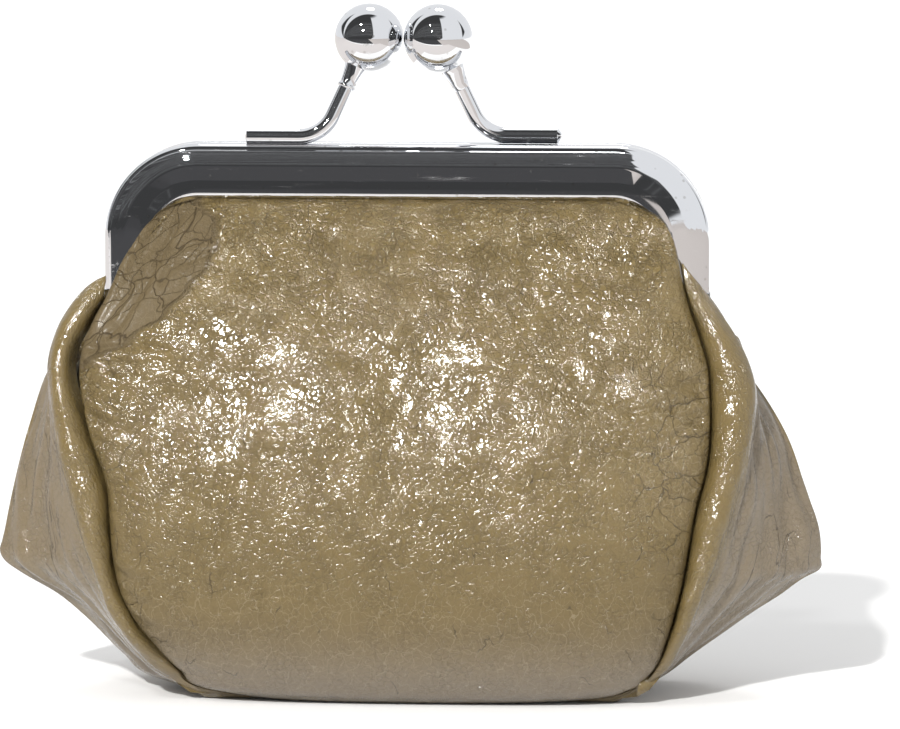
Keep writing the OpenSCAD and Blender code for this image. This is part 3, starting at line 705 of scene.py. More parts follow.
for label, side in (("left", -1), ("right", 1)):
    origin = np.array([side * (FRAME_HALF - 2 * SHEET - 2 * EAR_GAP), 0, HINGE])
    obj = piece_from(f"rivet_{label}", *turned(RIVET, origin, (side, 0, 0), 40), chrome_bar)
    finished(shaded_by_angle(obj, 40), "chrome", [f"{label}_hinge_rivet"], "rear_half")

# %% [markdown]
# ## Measures of the bag
# The bag is four pieces of leather: a front and a rear panel, and at each side one folded
# piece that springs out to a point. The tables below give outlines and depths in millimetres at
# each height. They come from the photograph, and the depth from the CAD model's own section.

# %% Tables of the bag, as (height, size) in millimetres
LEATHER, BASE_LIFT = 1.2, 0.05
middle_depth = [(0, 12.0), (0.35, 13.0), (1, 14.2), (3, 16.4), (6, 18.6), (10, 20.4), (16, 21.7),
                (21.8, 22.0), (28, 21.4), (33.8, 20.3), (40, 18.6), (44, 17.2), (48, 15.8),
                (52, 14.6), (54, 13.8), (58, 11.9), (62, 9.5), (65, 7.3), (67.5, 5.3), (69, 4.2),
                (70, 3.62), (70.6, 3.6), (71, 3.6), (74, 3.6)]
edge_depth = [(0, 9.4), (1.3, 10.3), (4.3, 11.8), (8, 13.2), (11.7, 14.3), (16, 14.9), (20, 15.0),
              (25.8, 14.9), (30.7, 14.3), (34.8, 13.8), (38, 13.2), (42.3, 12.5), (45.8, 11.8),
              (48, 11.2), (51.5, 10.3), (53.6, 9.9), (56, 9.3), (58.4, 8.6), (61.2, 7.9),
              (63.6, 7.3), (66.8, 6.7), (68.3, 6.1), (69.3, 5.2), (69.9, 4.0), (70.2, 3.62), (71, 3.6),
              (74, 3.6)]
left_edge = [(0, 18.0), (0.4, 21.4), (1.3, 26.6), (4.3, 31.1), (8, 34.4), (11.7, 37.1),
             (16, 39.1), (20.2, 40.0), (25.8, 40.5), (30.7, 41.0), (34.8, 42.4), (38.2, 43.6),
             (42.3, 44.5), (45.8, 45.0), (48.1, 44.9), (51.5, 43.9), (53.6, 43.0), (56, 41.7),
             (58.4, 40.6), (61.2, 39.4), (63.6, 37.9), (66.8, 35.5), (69.0, 32.6), (69.8, 29.8),
             (70.3, 28.8), (71, 28.6), (74, 28.6)]
right_edge = [(0, 20.0), (0.4, 25.0), (2.0, 31.9), (3.6, 34.0), (5.4, 35.5), (8.9, 36.9),
              (14, 38.4), (18.9, 39.5), (23.8, 40.3), (28.7, 41.2), (32.8, 42.3), (36.2, 42.8),
              (40.3, 42.95), (44.4, 42.8), (47.1, 42.6), (51.2, 41.4), (55.2, 40.0), (58.6, 39.0),
              (61.3, 38.4), (63.4, 37.9), (65.4, 37.2), (68.2, 34.6), (69.4, 31.6), (69.9, 29.6),
              (70.3, 28.8), (71, 28.6), (74, 28.6)]
left_ridge = [(0, 31.7), (1.6, 36.7), (4.7, 40.4), (10.2, 46.1), (13.5, 50.1), (16.4, 54.9),
              (18.1, 57.2), (19.3, 57.8), (20.6, 57.6), (28.6, 56.0), (37.9, 53.5), (44.8, 51.0),
              (46.5, 50.0), (48, 49.0), (52, 46.5), (56, 44.4), (60, 42.4)]
right_ridge = [(0, 32.4), (2.7, 36.9), (5.2, 40.1), (8.1, 44.0), (11.0, 48.0), (14.0, 52.6),
               (16.6, 56.2), (17.5, 57.9), (19.5, 58.3), (21.7, 58.1), (29.0, 56.1), (36.9, 53.3),
               (42.5, 50.0), (45, 48.2), (46.5, 47.1), (48, 46.1), (52, 44.4), (57, 43.0), (61.5, 40.6)]
left_band = [(0, 28.0), (4, 34.2), (8, 38.0), (12.9, 40.9), (17.7, 42.7), (22.8, 44.4),
             (28.6, 46.1), (33.7, 47.5), (39.9, 48.7), (44, 49.2), (47.2, 49.4), (50, 49.0), (53.9, 47.4),
             (57.2, 44.9), (58.6, 43.4), (59.6, 42.2)]
right_band = [(0, 30.0), (4, 36.1), (8, 39.0), (12.2, 41.0), (15.8, 42.3), (19.8, 44.0),
              (25.4, 45.8), (32.7, 47.8), (41.1, 49.1), (45, 49.0), (48.3, 48.1), (52.2, 46.1),
              (57.3, 42.4), (61.6, 39.3)]
left_gap = [(0, 0.1), (30, 0.15), (37, 0.25), (41, 0.6), (45, 1.1), (49, 1.1), (53, 0.5),
            (57, 0.2), (62, 0.1)]
right_gap = [(0, 0.1), (30, 0.15), (62, 0.15)]
print("tables:", len(middle_depth), "levels of depth")


# %% [markdown]
# ## Panels
# A panel comes down out of the channel, swells over the lip, bellies out and turns in under
# the purse. Across, it is nearly flat in the middle and rolls back at its edges: low down into
# the seam with the side fold, higher up over the frame's arm and back into the channel. Every
# row of the grid is that section at one height. Cloth simulation could fill such a bag too, but
# patent leather is stiff, and measured sections keep to the photograph's outline.

# %% Rows and columns of a panel
def even_steps(curve, count):
    """Places along a curve, as fractions of its table, that are equally far apart on it."""
    lengths = np.concatenate([[0], np.cumsum(np.linalg.norm(np.diff(curve, axis=0), axis=1))])
    return np.interp(np.linspace(0, lengths[-1], count), lengths, np.arange(len(curve)))


def panel_rows(count):
    """Height and base share of each row: down the wall, then in under the purse."""
    wall, base = 900, 120
    heights = np.concatenate([np.linspace(73.3, 0, wall), np.zeros(base)])
    inward = np.concatenate([np.zeros(wall), np.linspace(0, 1, base + 1)[1:]])
    depth = along(middle_depth, heights) * (1 - inward)
    places = even_steps(np.stack([heights, depth], 1), count)
    return [np.interp(places, np.arange(wall + base), table) for table in (heights, inward)]


def swell(place, power):
    return np.sqrt(np.maximum(0, 1 - np.abs(place) ** power))


def panel_columns(count, tuck):
    """Place across the panel of each column, from -1 to 1, then how far round the tuck it is."""
    dense = np.sin(np.linspace(-1, 1, 1201) * math.pi / 2)
    curve = np.stack([41 * dense, 15 + 5.5 * swell(dense, 2.6)], 1)
    places = np.interp(even_steps(curve, count), np.arange(len(dense)), dense)
    round_tuck = np.linspace(0, 1, tuck + 1)[1:]
    return (np.concatenate([np.full(tuck, -1.0), places, np.full(tuck, 1.0)]),
            np.concatenate([round_tuck[::-1], np.zeros(count), round_tuck]))


def mouth_reach(height):
    """Half width of the frame's mouth at a height."""
    radius = FRAME_CORNER - FACE_WIDTH
    over_corner = np.clip(height - (FRAME_TOP - FRAME_CORNER), 0, radius)
    return FRAME_HALF - FRAME_CORNER + np.sqrt(radius**2 - over_corner**2)


def bent(share, stops):
    """A smooth path through stops, each (x, y) an array; share runs from 0 to 1 along it."""
    count = len(stops) - 1
    at = np.clip(share * count, 0, count - 1e-9)
    i = np.floor(at).astype(int)
    t = at - i
    result = []
    for axis in (0, 1):
        values = np.stack(np.broadcast_arrays(*[s[axis] for s in stops]), 0)
        values = np.broadcast_to(values, (count + 1,) + np.broadcast_shapes(values.shape[1:], share.shape))
        pick = lambda k: np.take_along_axis(values, np.broadcast_to(
            np.clip(k, 0, count), values.shape[1:])[None], 0)[0]
        a, b, c, d = (pick(i + k) for k in (-1, 0, 1, 2))
        result.append(0.5 * (2 * b + (c - a) * t + (2 * a - 5 * b + 4 * c - d) * t**2
                             + (3 * b - a - 3 * c + d) * t**3))
    return result


# %% The panel's grid
IN_CHANNEL, CHANNEL_DEPTH = 70.2, 3.62  # the leather's height and depth where it is gripped


def panel_grid(rows, columns, tuck, left, right, powers, depths=(edge_depth, middle_depth),
               base_reach=29.5, lift=BASE_LIFT):
    """Front-facing grid of a panel. powers are the roundness at the left and at the right."""
    height, inward = (v[:, None] for v in panel_rows(rows))
    place, round_tuck = (v[None, :] for v in panel_columns(columns - 2 * tuck, tuck))
    reach = np.where(place < 0, along(left, height), along(right, height))
    power = np.where(place < 0, *powers) + 12 * ease(62, 70, height)
    depth_edge, depth_middle = (along(table, height) for table in depths)
    y = mix(depth_edge, depth_middle, swell(place, power))
    x = place * reach
    in_mouth = ease(53.5, 59.0, height)
    mouth = np.minimum(mouth_reach(height), reach + 0.4)
    seam = bent(round_tuck, [(reach, depth_edge), (reach + 0.02, depth_edge - 0.8),
                             (reach - 0.45, depth_edge - 2.3)])
    under = np.minimum(4.85, depth_edge - 0.02)
    roll = bent(round_tuck, [(reach, depth_edge), (reach + 0.08, mix(depth_edge, under, 0.35)),
                             (reach - 0.5, mix(depth_edge, under, 0.85)),
                             (mix(mouth, reach, 0.45), under), (mouth - 0.35, under - 0.35),
                             (mouth - 0.1, 3.75), (mouth + 1.3, CHANNEL_DEPTH)])
    side = np.sign(place)
    x = np.where(round_tuck > 0, side * mix(seam[0], roll[0], in_mouth), x)
    y = np.where(round_tuck > 0, mix(seam[1], roll[1], in_mouth), y)
    x = np.where((round_tuck > 0) & (height > IN_CHANNEL), side * (reach + 0.9 * round_tuck), x)
    y = np.where(height > IN_CHANNEL, np.minimum(y, CHANNEL_DEPTH), y)
    x = x * mix(1, base_reach / np.interp(0, *np.array(sorted(left)).T), inward)
    y = mix(y, 0.06, inward)
    z = np.maximum(height, lift) if lift > 1 else height + lift
    return np.stack(np.broadcast_arrays(x, -y, z), 2), place + 0 * y


front_grid, front_place = panel_grid(329, 265, 12, left_edge, right_edge, (2.4, 2.6))
rear_grid, rear_place = panel_grid(233, 189, 8, right_edge, left_edge, (2.6, 2.6))
print("front panel grid:", front_grid.shape, "lowest", round(float(front_grid[..., 2].min()), 3))

# %% [markdown]
# ## Side folds
# A side fold is one piece of leather, creased along a ridge that stands out beside the purse.
# Next to the panel it puffs up into a rolled band; behind the band it runs flat to the ridge.
# The section is bent through a few stops at each height and mirrored to the rear.

# %% The side fold's grid
SIDES = {"left": -1, "right": 1}
TIP = 1.4  # roundness of the ridge
fold_tops = {  # heights of the fold's upper edge, from the seam to the ridge
    "left": [55.6, 56.2, 57.0, 58.6, 59.4, 58.8, 57.2, 55.0, 52.2, 50.2, 48.4, 47.8],
    "right": [57.5, 58.8, 60.2, 61.4, 61.6, 60.2, 57.6, 54.8, 52.2, 50.2, 48.4, 47.8],
    "rear": [51.4, 51.5, 51.6, 51.4, 50.8, 50.0, 49.2, 48.7, 48.3, 48.1, 47.9, 47.8]}
fold_tables = {"left": (left_edge, left_gap, left_band, left_ridge),
               "right": (right_edge, right_gap, right_band, right_ridge)}


def fold_half(rows, band_columns, wing_columns, edge, gap, band, ridge, top_edge):
    """Front half of a side fold, on the right; column 0 is in the seam, the last on the ridge."""
    u = np.concatenate([np.linspace(0, 1, 11)[:-1] * 1.6,
                        1.6 + np.linspace(0, 1, band_columns + 1)[:-1] * 4.4,
                        6 + np.linspace(0, 1, wing_columns) ** 0.9 * 5])[None, :]
    down = np.linspace(0, 1, rows)[:, None] ** 0.96
    level = mix(np.interp(u, np.arange(len(top_edge)), top_edge), 0, down)
    crease = along(edge, level) + along(gap, level)
    depth = along(edge_depth, np.minimum(level, 63.6))
    outer = np.maximum(along(band, level), crease + 0.75)
    reach = along(ridge, level)
    width = outer - crease
    full = 1.9 * ease(-1, 9, level) * mix(1, 0.5, ease(52, 60, level)) * np.minimum(1, width / 4)
    wing = lambda p, lift: (mix(outer, reach - TIP, p) + lift * 0.6 * (reach - outer) / 9,
                            mix(depth - 0.35, TIP * 1.05, p) + lift)
    stops = [(crease - 0.45, depth - 2.6), (crease - 0.02, depth - 1.2),
             (crease + 0.1 * width, depth + 0.25 * full), (crease + 0.3 * width, depth + 0.85 * full),
             (crease + 0.56 * width, depth + full), (crease + 0.84 * width, depth + 0.62 * full),
             (outer, depth - 0.35), wing(0.22, -0.25), wing(0.5, -0.15), wing(0.8, 0.0),
             (reach - 0.3 * TIP, 0.74 * TIP), (reach, 0 * reach)]
    x, y = bent(u / 11, stops)
    return np.stack(np.broadcast_arrays(x, -np.maximum(y, 0), level + BASE_LIFT), 2)


def whole_fold(front, rear, side):
    """Both halves of a side fold as one grid whose faces point outwards, on one side."""
    grid = np.concatenate([front, (rear * [1, -1, 1])[:, -2::-1]], 1)
    return grid if side > 0 else (grid * [-1, 1, 1])[:, ::-1]


def fold_halves(grid, side):
    """Which columns of a whole fold are its front half and its rear half."""
    middle = grid.shape[1] // 2
    first, last = slice(0, middle + 1), slice(middle, None)
    return {"front": first, "rear": last} if side > 0 else {"front": last, "rear": first}


fold_grids = {}
for label, side in SIDES.items():
    edge, gap, band, ridge = fold_tables[label]
    rear_band = [(z, x - 1.4 * float(ease(36, 47, z))) for z, x in band]
    halves = [fold_half(225, 51, 56, edge, gap, roll, ridge, fold_tops[top])
              for roll, top in ((band, label), (rear_band, "rear"))]
    fold_grids[label] = whole_fold(*halves, side)
print("side folds:", fold_grids["left"].shape)

# %% [markdown]
# ## How the leather creases
# A stiff, glossy leather doesn't drape. It bends along lines: gathers under the frame's lip,
# puckers along the seams, a flat facet where the corner pulls tight, and long fine creases.
# Each is a small move along the surface's own direction, so they add up without clashing.


# %% Waves, gathers and creases
def waves(x, z, size, seed, count=26, stretch=1.0):
    """Smooth irregular hills about 1 high and a given size across, the same on every run."""
    draw = np.random.default_rng(seed)
    turn, length, shift = (draw.uniform(low, high, count)
                           for low, high in ((0, math.pi), (0.7, 1.5), (0, 7)))
    total = 0.0
    for t, k, s in zip(turn, length, shift):
        run = x * math.cos(t) + z * math.sin(t) / stretch
        total = total + np.cos(2 * math.pi * k / size * run + s)
    return total * math.sqrt(2 / count)


def distance_to(line, x, z):
    """Distance of every point to a line of (x, z) points."""
    nearest = np.full(x.shape, 1e9)
    for (ax, az), (bx, bz) in zip(line[:-1], line[1:]):
        dx, dz = bx - ax, bz - az
        share = np.clip(((x - ax) * dx + (z - az) * dz) / (dx * dx + dz * dz), 0, 1)
        nearest = np.minimum(nearest, np.hypot(x - ax - share * dx, z - az - share * dz))
    return nearest


creases = [  # depth, then places across and levels
    (0.30, [(-31.3, 67.6), (-35.6, 59.1), (-39.3, 53.1), (-41.4, 51.1)]),
    (0.22, [(-25.9, 63.0), (-32.8, 60.8), (-33.7, 58.7)]),
    (0.30, [(-44.2, 47.3), (-38.9, 46.0)]),
    (0.34, [(-43.9, 49.6), (-38.6, 49.9), (-32.3, 49.7)]),
    (0.34, [(43.0, 45.6), (38.9, 45.5), (36.0, 42.4), (31.2, 41.2)]),
    (0.28, [(43.0, 43.3), (38.6, 42.5), (35.2, 41.0)]),
    (0.26, [(43.1, 39.7), (40.4, 40.0), (37.6, 38.0)]),
    (0.14, [(26.4, 51.6), (26.5, 45.7), (25.3, 42.4)]),
    (0.12, [(24.6, 48.0), (22.1, 45.0)]),
    (0.13, [(-35.3, 14.5), (-32.5, 16.4), (-30.7, 18.0), (-26.9, 20.0), (-24.5, 21.8), (-24.4, 25.9),
            (-22.5, 28.4), (-21.1, 33.5), (-21.1, 44.1)]),
    (0.10, [(-24.8, 13.7), (-21.6, 14.0), (-18.8, 16.3), (-13.8, 16.5)]),
    (0.07, [(-9.4, 14.8), (-9.4, 3.9)]), (0.07, [(-1.4, 10.6), (-1.6, 4.2)])]
facet_edge = [(45.0, -47.0), (46.9, -44.4), (50, -38.8), (54, -33.0), (57.8, -29.5), (61.6, -26.4),
              (65.5, -25.6), (68, -27.2), (70, -29.0)]
bulges = [  # height, place across, level, half width, half height
    (0.70, -20.5, 49.4, 15, 6.5), (0.75, -33.7, 30.0, 10, 6.5), (0.42, 23.9, 35.9, 7, 11.5),
    (0.42, 23.2, 38.6, 8.5, 10), (0.42, 14.3, 45.4, 8, 6.5), (-0.35, -32.9, 40.0, 13, 6.5),
    (-0.35, 2.8, 43.4, 7, 6.5), (0.40, -13.3, 41.0, 8, 6.5), (-0.42, 15.4, 55.4, 20, 6.5),
    (0.30, 31.5, 40.5, 5, 5), (0.30, 33.5, 51.0, 4, 7), (0.8, -8, 68.2, 26, 2.9), (0.8, 26, 68.2, 14, 2.9),
    (0.45, -21.5, 66.2, 4, 3), (0.9, 35.0, 42.5, 4.2, 5), (0.8, 36.0, 57.5, 3.7, 5)]


def facet_line(z):
    """Where the flat facet at the upper left corner ends, at each level."""
    return np.interp(z, *np.array(facet_edge).T)


def open_face(z, place):
    """1 on a panel's open face, 0 at its edges, where it is held."""
    return ease(70.1, 68.8, z) * ease(0.4, 5, z) * ease(0.0, 0.03, 1 - np.abs(place))


def near_seam(inset, reach):
    """1 at a seam, fading over a distance from it."""
    return np.exp(-(inset / reach) ** 2)


# %% Relief of the front panel
def front_relief(grid, place):
    """Moves along the surface in millimetres, where cracks run, and marks from 0 to 1."""
    x, z = grid[..., 0], grid[..., 2]
    reach = np.where(place < 0, along(left_edge, z), along(right_edge, z))
    inset = (1 - np.abs(place)) * reach
    flat = ease(0.7, -0.9, x - (facet_line(z) + 0.35 * np.sin(z * 1.9))) * ease(44, 47, z)
    restless = (0.25 + 0.75 * ease(22, 38, z)) * (1 - 0.9 * flat)
    move = restless * (0.09 * waves(x, z, 19, 3) + 0.05 * waves(x, z, 7.5, 5)
                       + 0.035 * waves(x, z, 3.6, 8))
    for height, across, level, wide, tall in bulges:
        move += height * np.exp(-((x - across) / wide) ** 2 - ((z - level) / tall) ** 2) * (1 - flat)
    gather = waves(x + 0.8 * np.sin(z / 3), z, 3.4, 12, stretch=6.0)
    move += ease(58, 68.5, z) * 0.09 * gather * (1 - 0.6 * flat)
    right_pull = near_seam(inset, 9) * (place > 0) * ease(24, 30, z) * ease(52, 45, z)
    left_pull = near_seam(inset, 7) * (place < 0) * ease(56, 48, z) * ease(24, 38, z)
    low_pull = near_seam(inset, 6) * ease(30, 18, z) * ease(3, 8, z)
    puckers = waves(z - 0.35 * inset * np.sign(place), inset * 0.2, 3.6, 21)
    move += 0.20 * (right_pull + 0.8 * left_pull + 0.6 * low_pull) * puckers
    into = np.clip((facet_line(z) - x) / 9, 0, 1)
    move -= flat * ease(69.5, 64, z) * 0.75 * into * ease(0, 2.5, inset)
    for depth, line in creases:
        away = distance_to(line, x, z)
        move += -depth * np.exp(-(away / 0.33) ** 2) + 0.45 * depth * np.exp(-((away - 1.0) / 0.7) ** 2)
    calm = 0.9 * flat + 0.58 * ease(33, 12, z) + 0.5 * right_pull - 0.4 * ease(54, 64, z)
    turn = math.radians(40)
    run, cross = x * math.cos(turn) + z * math.sin(turn), z * math.cos(turn) - x * math.sin(turn)
    grain = np.stack([mix(mix(x, 43 + (x - 43) * 0.5, right_pull), run / 3.0, flat),
                      mix(z, cross, flat), 0 * x], 2)
    return move * open_face(z, place), grain, {
        "worn": np.clip(flat + 0.9 * right_pull + 0.6 * left_pull + 0.5 * low_pull, 0, 1),
        "calm": np.clip(calm, -0.4, 0.92),
        # This mark paints a pale grey reflection of the white table into the colour towards the bottom,
        # and a little on the flat facet.
        "grey": np.clip(0.3 * flat + 0.85 * ease(16, 2, z), 0, 1),
        # This mark dulls the coat on the flat facet and the lower belly, and darkens their colour there as
        # painted shade.
        "matte_and_shade": np.clip(flat + 0.46 * ease(32, 18, z) * ease(4, 12, z), 0, 1)}


def raised(grid, move):
    return grid + normals_of(grid) * move[..., None]


front_move, front_grain, front_marks = front_relief(front_grid, front_place)
print("front relief in mm:", front_move.min().round(2), "to", front_move.max().round(2))


# %% Relief of the rear panel and the side folds
def rear_relief(grid, place):
    """Moves of the rear panel, and how worn it is."""
    x, z = grid[..., 0], grid[..., 2]
    inset = (1 - np.abs(place)) * 42
    pull = near_seam(inset, 8) * ease(54, 46, z) * ease(8, 20, z)
    move = 0.32 * waves(x, z, 20, 31) + 0.10 * waves(x, z, 8, 33)
    move += ease(58, 68.5, z) * 0.17 * waves(x, z, 3.4, 37, stretch=6.0)
    move += 0.2 * pull * waves(z - 0.3 * inset * np.sign(place), inset * 0.2, 3.8, 39)
    return move * open_face(z, place), np.clip(pull, 0, 1)


def fold_relief(grid, seed, greyness):
    """Moves of a side fold, how worn it is, and where a grey reflection is painted on it. Long wrinkles
    run down its flat.
    """
    columns = grid.shape[1]
    across = np.abs(np.arange(columns) - columns // 2)[None, :] + 0 * grid[..., 0]
    flat = ease(58, 50, across) * ease(2, 8, across)
    band = ease(54, 62, across) * ease(columns // 2 - 3, columns // 2 - 12, across)
    y, z = grid[..., 1], grid[..., 2]
    move = 0.13 * flat * waves(y, z, 2.6, seed, stretch=7.0)
    move += (0.16 * flat * waves(y, z, 6.5, seed + 1, stretch=2.5)
             + 0.07 * band * waves(z, y, 5.5, seed + 2))
    grey = np.clip(flat * greyness + 0.4 * ease(12, 2, z), 0, 1)
    return move * ease(0.2, 4, z), 0.3 * flat, grey


rear_move, rear_worn = rear_relief(rear_grid, rear_place)
print("rear relief in mm:", rear_move.min().round(2), "to", rear_move.max().round(2))


# %% [markdown]
# ## Patent leather
# Patent leather is soft leather under a thick clear film. The film is creased: a net of fine
# lines divides it into small, slightly tilted plates, and each plate that faces a lamp gives
# one sharp glint. So the finish is a bump of plates, lines and fine wrinkles on a clear coat,
# over an olive body that is darker in the lines. The pattern reads a stored rest place, not
# the moving one, so it stays on the leather when the purse opens.

# %% A group for the creased film
HALFWAY = (0.5, 0.5, 0.5)
film, given, out = group_of(
    "ShaderNodeTree", "creased film",
    [("Place", "Vector"), ("Plate size", "Float", 1.1), ("Plate tilt", "Float", 0.12),
     ("Dome", "Float", 0.08), ("Line depth", "Float", 0.03), ("Wrinkle depth", "Float", 0.02)],
    [("Height", "Float"), ("Line", "Float")])


def pushed(place, size, reach, detail=1.0):
    """Moves a place about by smooth noise, so that straight cells come out crooked."""
    centred = noise(place, 1 / size, detail)["Color"].vector("SUBTRACT", HALFWAY)
    return place.vector("ADD", centred.vector("SCALE", reach))


in_mm = given["Place"].vector("SCALE", 1000.0)
crooked = pushed(in_mm, 1.3, 1.4, 2.5)
per_mm = 1.0 / given["Plate size"]
edge = cells(crooked, per_mm, feature="DISTANCE_TO_EDGE")
cell = cells(crooked, per_mm)
offset = crooked.vector("SUBTRACT", cell["Position"])
tilt = cell["Color"].vector("SUBTRACT", HALFWAY).vector("DOT_PRODUCT", offset)["Value"]
tilt = tilt * given["Plate tilt"] * edge.ranged(0.0, 0.25)
strong = noise(in_mm, 0.22, 2.0).ranged(0.35, 0.62, 0.55, 1.25)
groove = edge.ranged(0.30, 0.0) ** 2.0 * strong
dome = cell ** 2.0 * given["Dome"]
curl = noise(in_mm, 0.85, 2.5, Roughness=0.5, Distortion=1.4)
wrinkle = (curl - 0.5).maths("ABSOLUTE").ranged(0.12, 0.0) ** 2.0
wrinkle = wrinkle * strong * (given["Wrinkle depth"] * -1.0)
feed(out, Height=tilt - groove * given["Line depth"] - dome + wrinkle,
     Line=edge.ranged(0.14, 0.0) * strong)
print("creased film:", len(film.nodes), "nodes")

# %% A group for dark cracks
cracks, given, out = group_of(
    "ShaderNodeTree", "dark cracks",
    [("Place", "Vector"), ("Crack size", "Float", 3.6), ("Amount", "Float", 0.5)], [("Crack", "Float")])
in_mm = given["Place"].vector("MULTIPLY", (1000, 720, 1000))
crooked = pushed(in_mm, 3.0, 3.2, 3.0)
nets = [cells(crooked, (1 / share) / given["Crack size"], feature="DISTANCE_TO_EDGE").ranged(width, 0.0)
        for share, width in ((1.0, 0.024), (0.42, 0.035))]
limit = (1.02 - given["Amount"]) * 0.72
shown = noise(in_mm, 0.2, 2.0).ranged(limit, limit + 0.12)
feed(out, Crack=nets[0].maths("MAXIMUM", nets[1] * given["Amount"]) * shown)
print("dark cracks:", len(cracks.nodes), "nodes")

# %% The leather finishes
# The grey olive below is a painted reflection of the pale table and surroundings.
OLIVE, WORN_OLIVE, PAINTED_REFLECTION_OLIVE = linear(106, 90, 54), linear(94, 81, 54), linear(112, 101, 86)
# Below, the brown laid on the flat facet and the lower belly is painted shade.
LINE_BROWN, PAINTED_SHADE_BROWN, CRACK_BROWN, PALE_NET = (
    linear(74, 60, 33), linear(86, 75, 56), linear(44, 35, 22), linear(164, 152, 130))


def stored(tree, name, output="Fac"):
    """Reads a value that is kept on the piece's points."""
    return add(tree, "Attribute", {"attribute_name": name})[output]


def patent_finish(name, plate, tilt, dome, line, wrinkle, coat_roughness, worn_and_reflection_colour, film_share):
    """Glossy creased leather, olive where smooth, with another colour where worn; on the side folds that
    colour is a painted grey reflection.
    """
    material, tree, shader = principled(name)
    place, grain = stored(tree, "flat", "Vector"), stored(tree, "grain", "Vector")
    # Of these marks, one paints a pale grey reflection into the colour and one paints shade.
    worn, calm, matte_and_shade, grey = (stored(tree, mark) for mark in ("worn", "calm", "matte_and_shade", "grey"))
    cracked = lambda where, amount: add(
        tree, "Group", {"node_tree": cracks}, Place=where, Amount=amount)
    creased = add(tree, "Group", {"node_tree": film}, Place=place, Plate_size=plate,
                  Plate_tilt=tilt, Dome=dome, Line_depth=line, Wrinkle_depth=wrinkle)
    crack = cracked(grain, worn * 0.66 + 0.16)
    net = cracked(place.vector("SCALE", 1.45), 0.85)
    net_shown = (calm * 1.2 - matte_and_shade + 0.06).maths("MINIMUM", 0.25)
    mottle = noise(place, 90.0, 4.0, "3D", Roughness=0.6)
    colour = blended(mottle.ranged(0.3, 0.7), tuple(0.93 * c for c in OLIVE[:3]) + (1,), OLIVE)
    # In the blend below, the share of the facet's and lower belly's brown is painted shade.
    for share, other in ((worn * 0.35, worn_and_reflection_colour), (grey, PAINTED_REFLECTION_OLIVE),
                         (creased["Line"] * 0.24, LINE_BROWN), (matte_and_shade * 0.6, PAINTED_SHADE_BROWN),
                         (net * net_shown, PALE_NET), (crack * 0.70, CRACK_BROWN)):
        colour = blended(share, colour, other)
    relief = bumped(creased["Height"] * (1.0 - calm) - crack * 0.08, 0.001 * film_share)
    feed(shader, Base_Color=colour, Roughness=mottle.ranged(0.3, 0.7, 0.42, 0.56), Normal=relief,
         Specular_IOR_Level=0.05, Coat_Weight=1.0 - matte_and_shade * 0.96, Coat_Normal=relief,
         Coat_Roughness=coat_roughness, Coat_IOR=1.55)
    return material


patent = patent_finish("patent_leather", plate=1.0, tilt=0.05, dome=0.01, line=0.075, wrinkle=0.085,
                       coat_roughness=0.11, worn_and_reflection_colour=WORN_OLIVE, film_share=1.0)
fold_patent = patent_finish("patent_leather_fold", plate=1.0, tilt=0.06, dome=0.03, line=0.045,
                            wrinkle=0.038, coat_roughness=0.13, worn_and_reflection_colour=PAINTED_REFLECTION_OLIVE, film_share=0.9)
print("leather finishes made")

# %% [markdown]
# ## Leather pieces
# The real leather is 1.2 mm thick, so each piece is a closed shell, not a bare surface. A
# Solidify modifier could thicken it, but it would double every point of the fine outer grid.
# Here the hidden inner face gets one cell for 4 x 4 outer ones, which keeps the pieces light.
# In the real purse the lower half of a panel belongs to the bag and its top swings with the frame,
# so the panel bends between the two; these pieces are not bent.


# %% Turning a grid into leather
def flat_place(grid):
    """Where each point would lie if the leather were laid out flat, in millimetres."""
    step = lambda axis: np.linalg.norm(np.diff(grid, axis=axis), axis=2)
    across = np.pad(np.cumsum(step(1), 1), ((0, 0), (1, 0)))
    down = np.pad(np.cumsum(step(0), 0), ((1, 0), (0, 0)))
    across -= across[:, across.shape[1] // 2][:, None]
    down = down.mean(axis=1, keepdims=True) + 0 * across
    return np.stack([across, down, 0 * across], 2)


def sheet_shell(name, grid, ratio, material, thickness, grain=None, **marks):
    """A closed piece of leather or cloth; the inner face lies a thickness behind the outer one."""
    coarse = lambda table: table[::ratio, ::ratio]
    base, flat = coarse(grid), flat_place(grid)
    if np.ndim(thickness):
        thickness = coarse(thickness)[..., None]
    inner = base - normals_of(base) * thickness
    inner[..., 2] = np.maximum(inner[..., 2], LEATHER / 2)
    points, faces = closed_shell(grid, inner, ratio)
    kept = {mark: np.concatenate([values.reshape(-1, 3), coarse(values).reshape(-1, 3)]) * MM
            for mark, values in (("flat", flat), ("grain", flat if grain is None else grain))}
    for mark, values in marks.items():
        kept[mark] = np.concatenate([values.ravel(), np.zeros(len(points) - values.size)])
    return piece_from(name, points, faces, material, **kept)


def bends_with(obj, half, fold=False):
    """Bakes the piece's place into its points; the piece is not bent or hung on a body."""
    if fold:
        y = -0.00941 if half == "front" else 0.00941
        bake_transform(obj)
    else:
        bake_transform(obj)


# %% The panels in leather
FINE_CELLS = 4  # outer cells along one inner cell
for half, grid, marks in (
        ("front", raised(front_grid, front_move), {"grain": front_grain, **front_marks}),
        ("rear", raised(rear_grid, rear_move) * [-1, -1, 1], {"worn": rear_worn})):
    obj = sheet_shell(f"{half}_leather", grid, FINE_CELLS, patent, LEATHER, **marks)
    finished(obj, "leather", [f"{half}_panel", f"{half}_panel_top"])
    bends_with(obj, half)

# %% The side folds in leather
FOLD_GRAIN = [1.0, 0.28, 1.0]  # cracks are drawn out down the fold
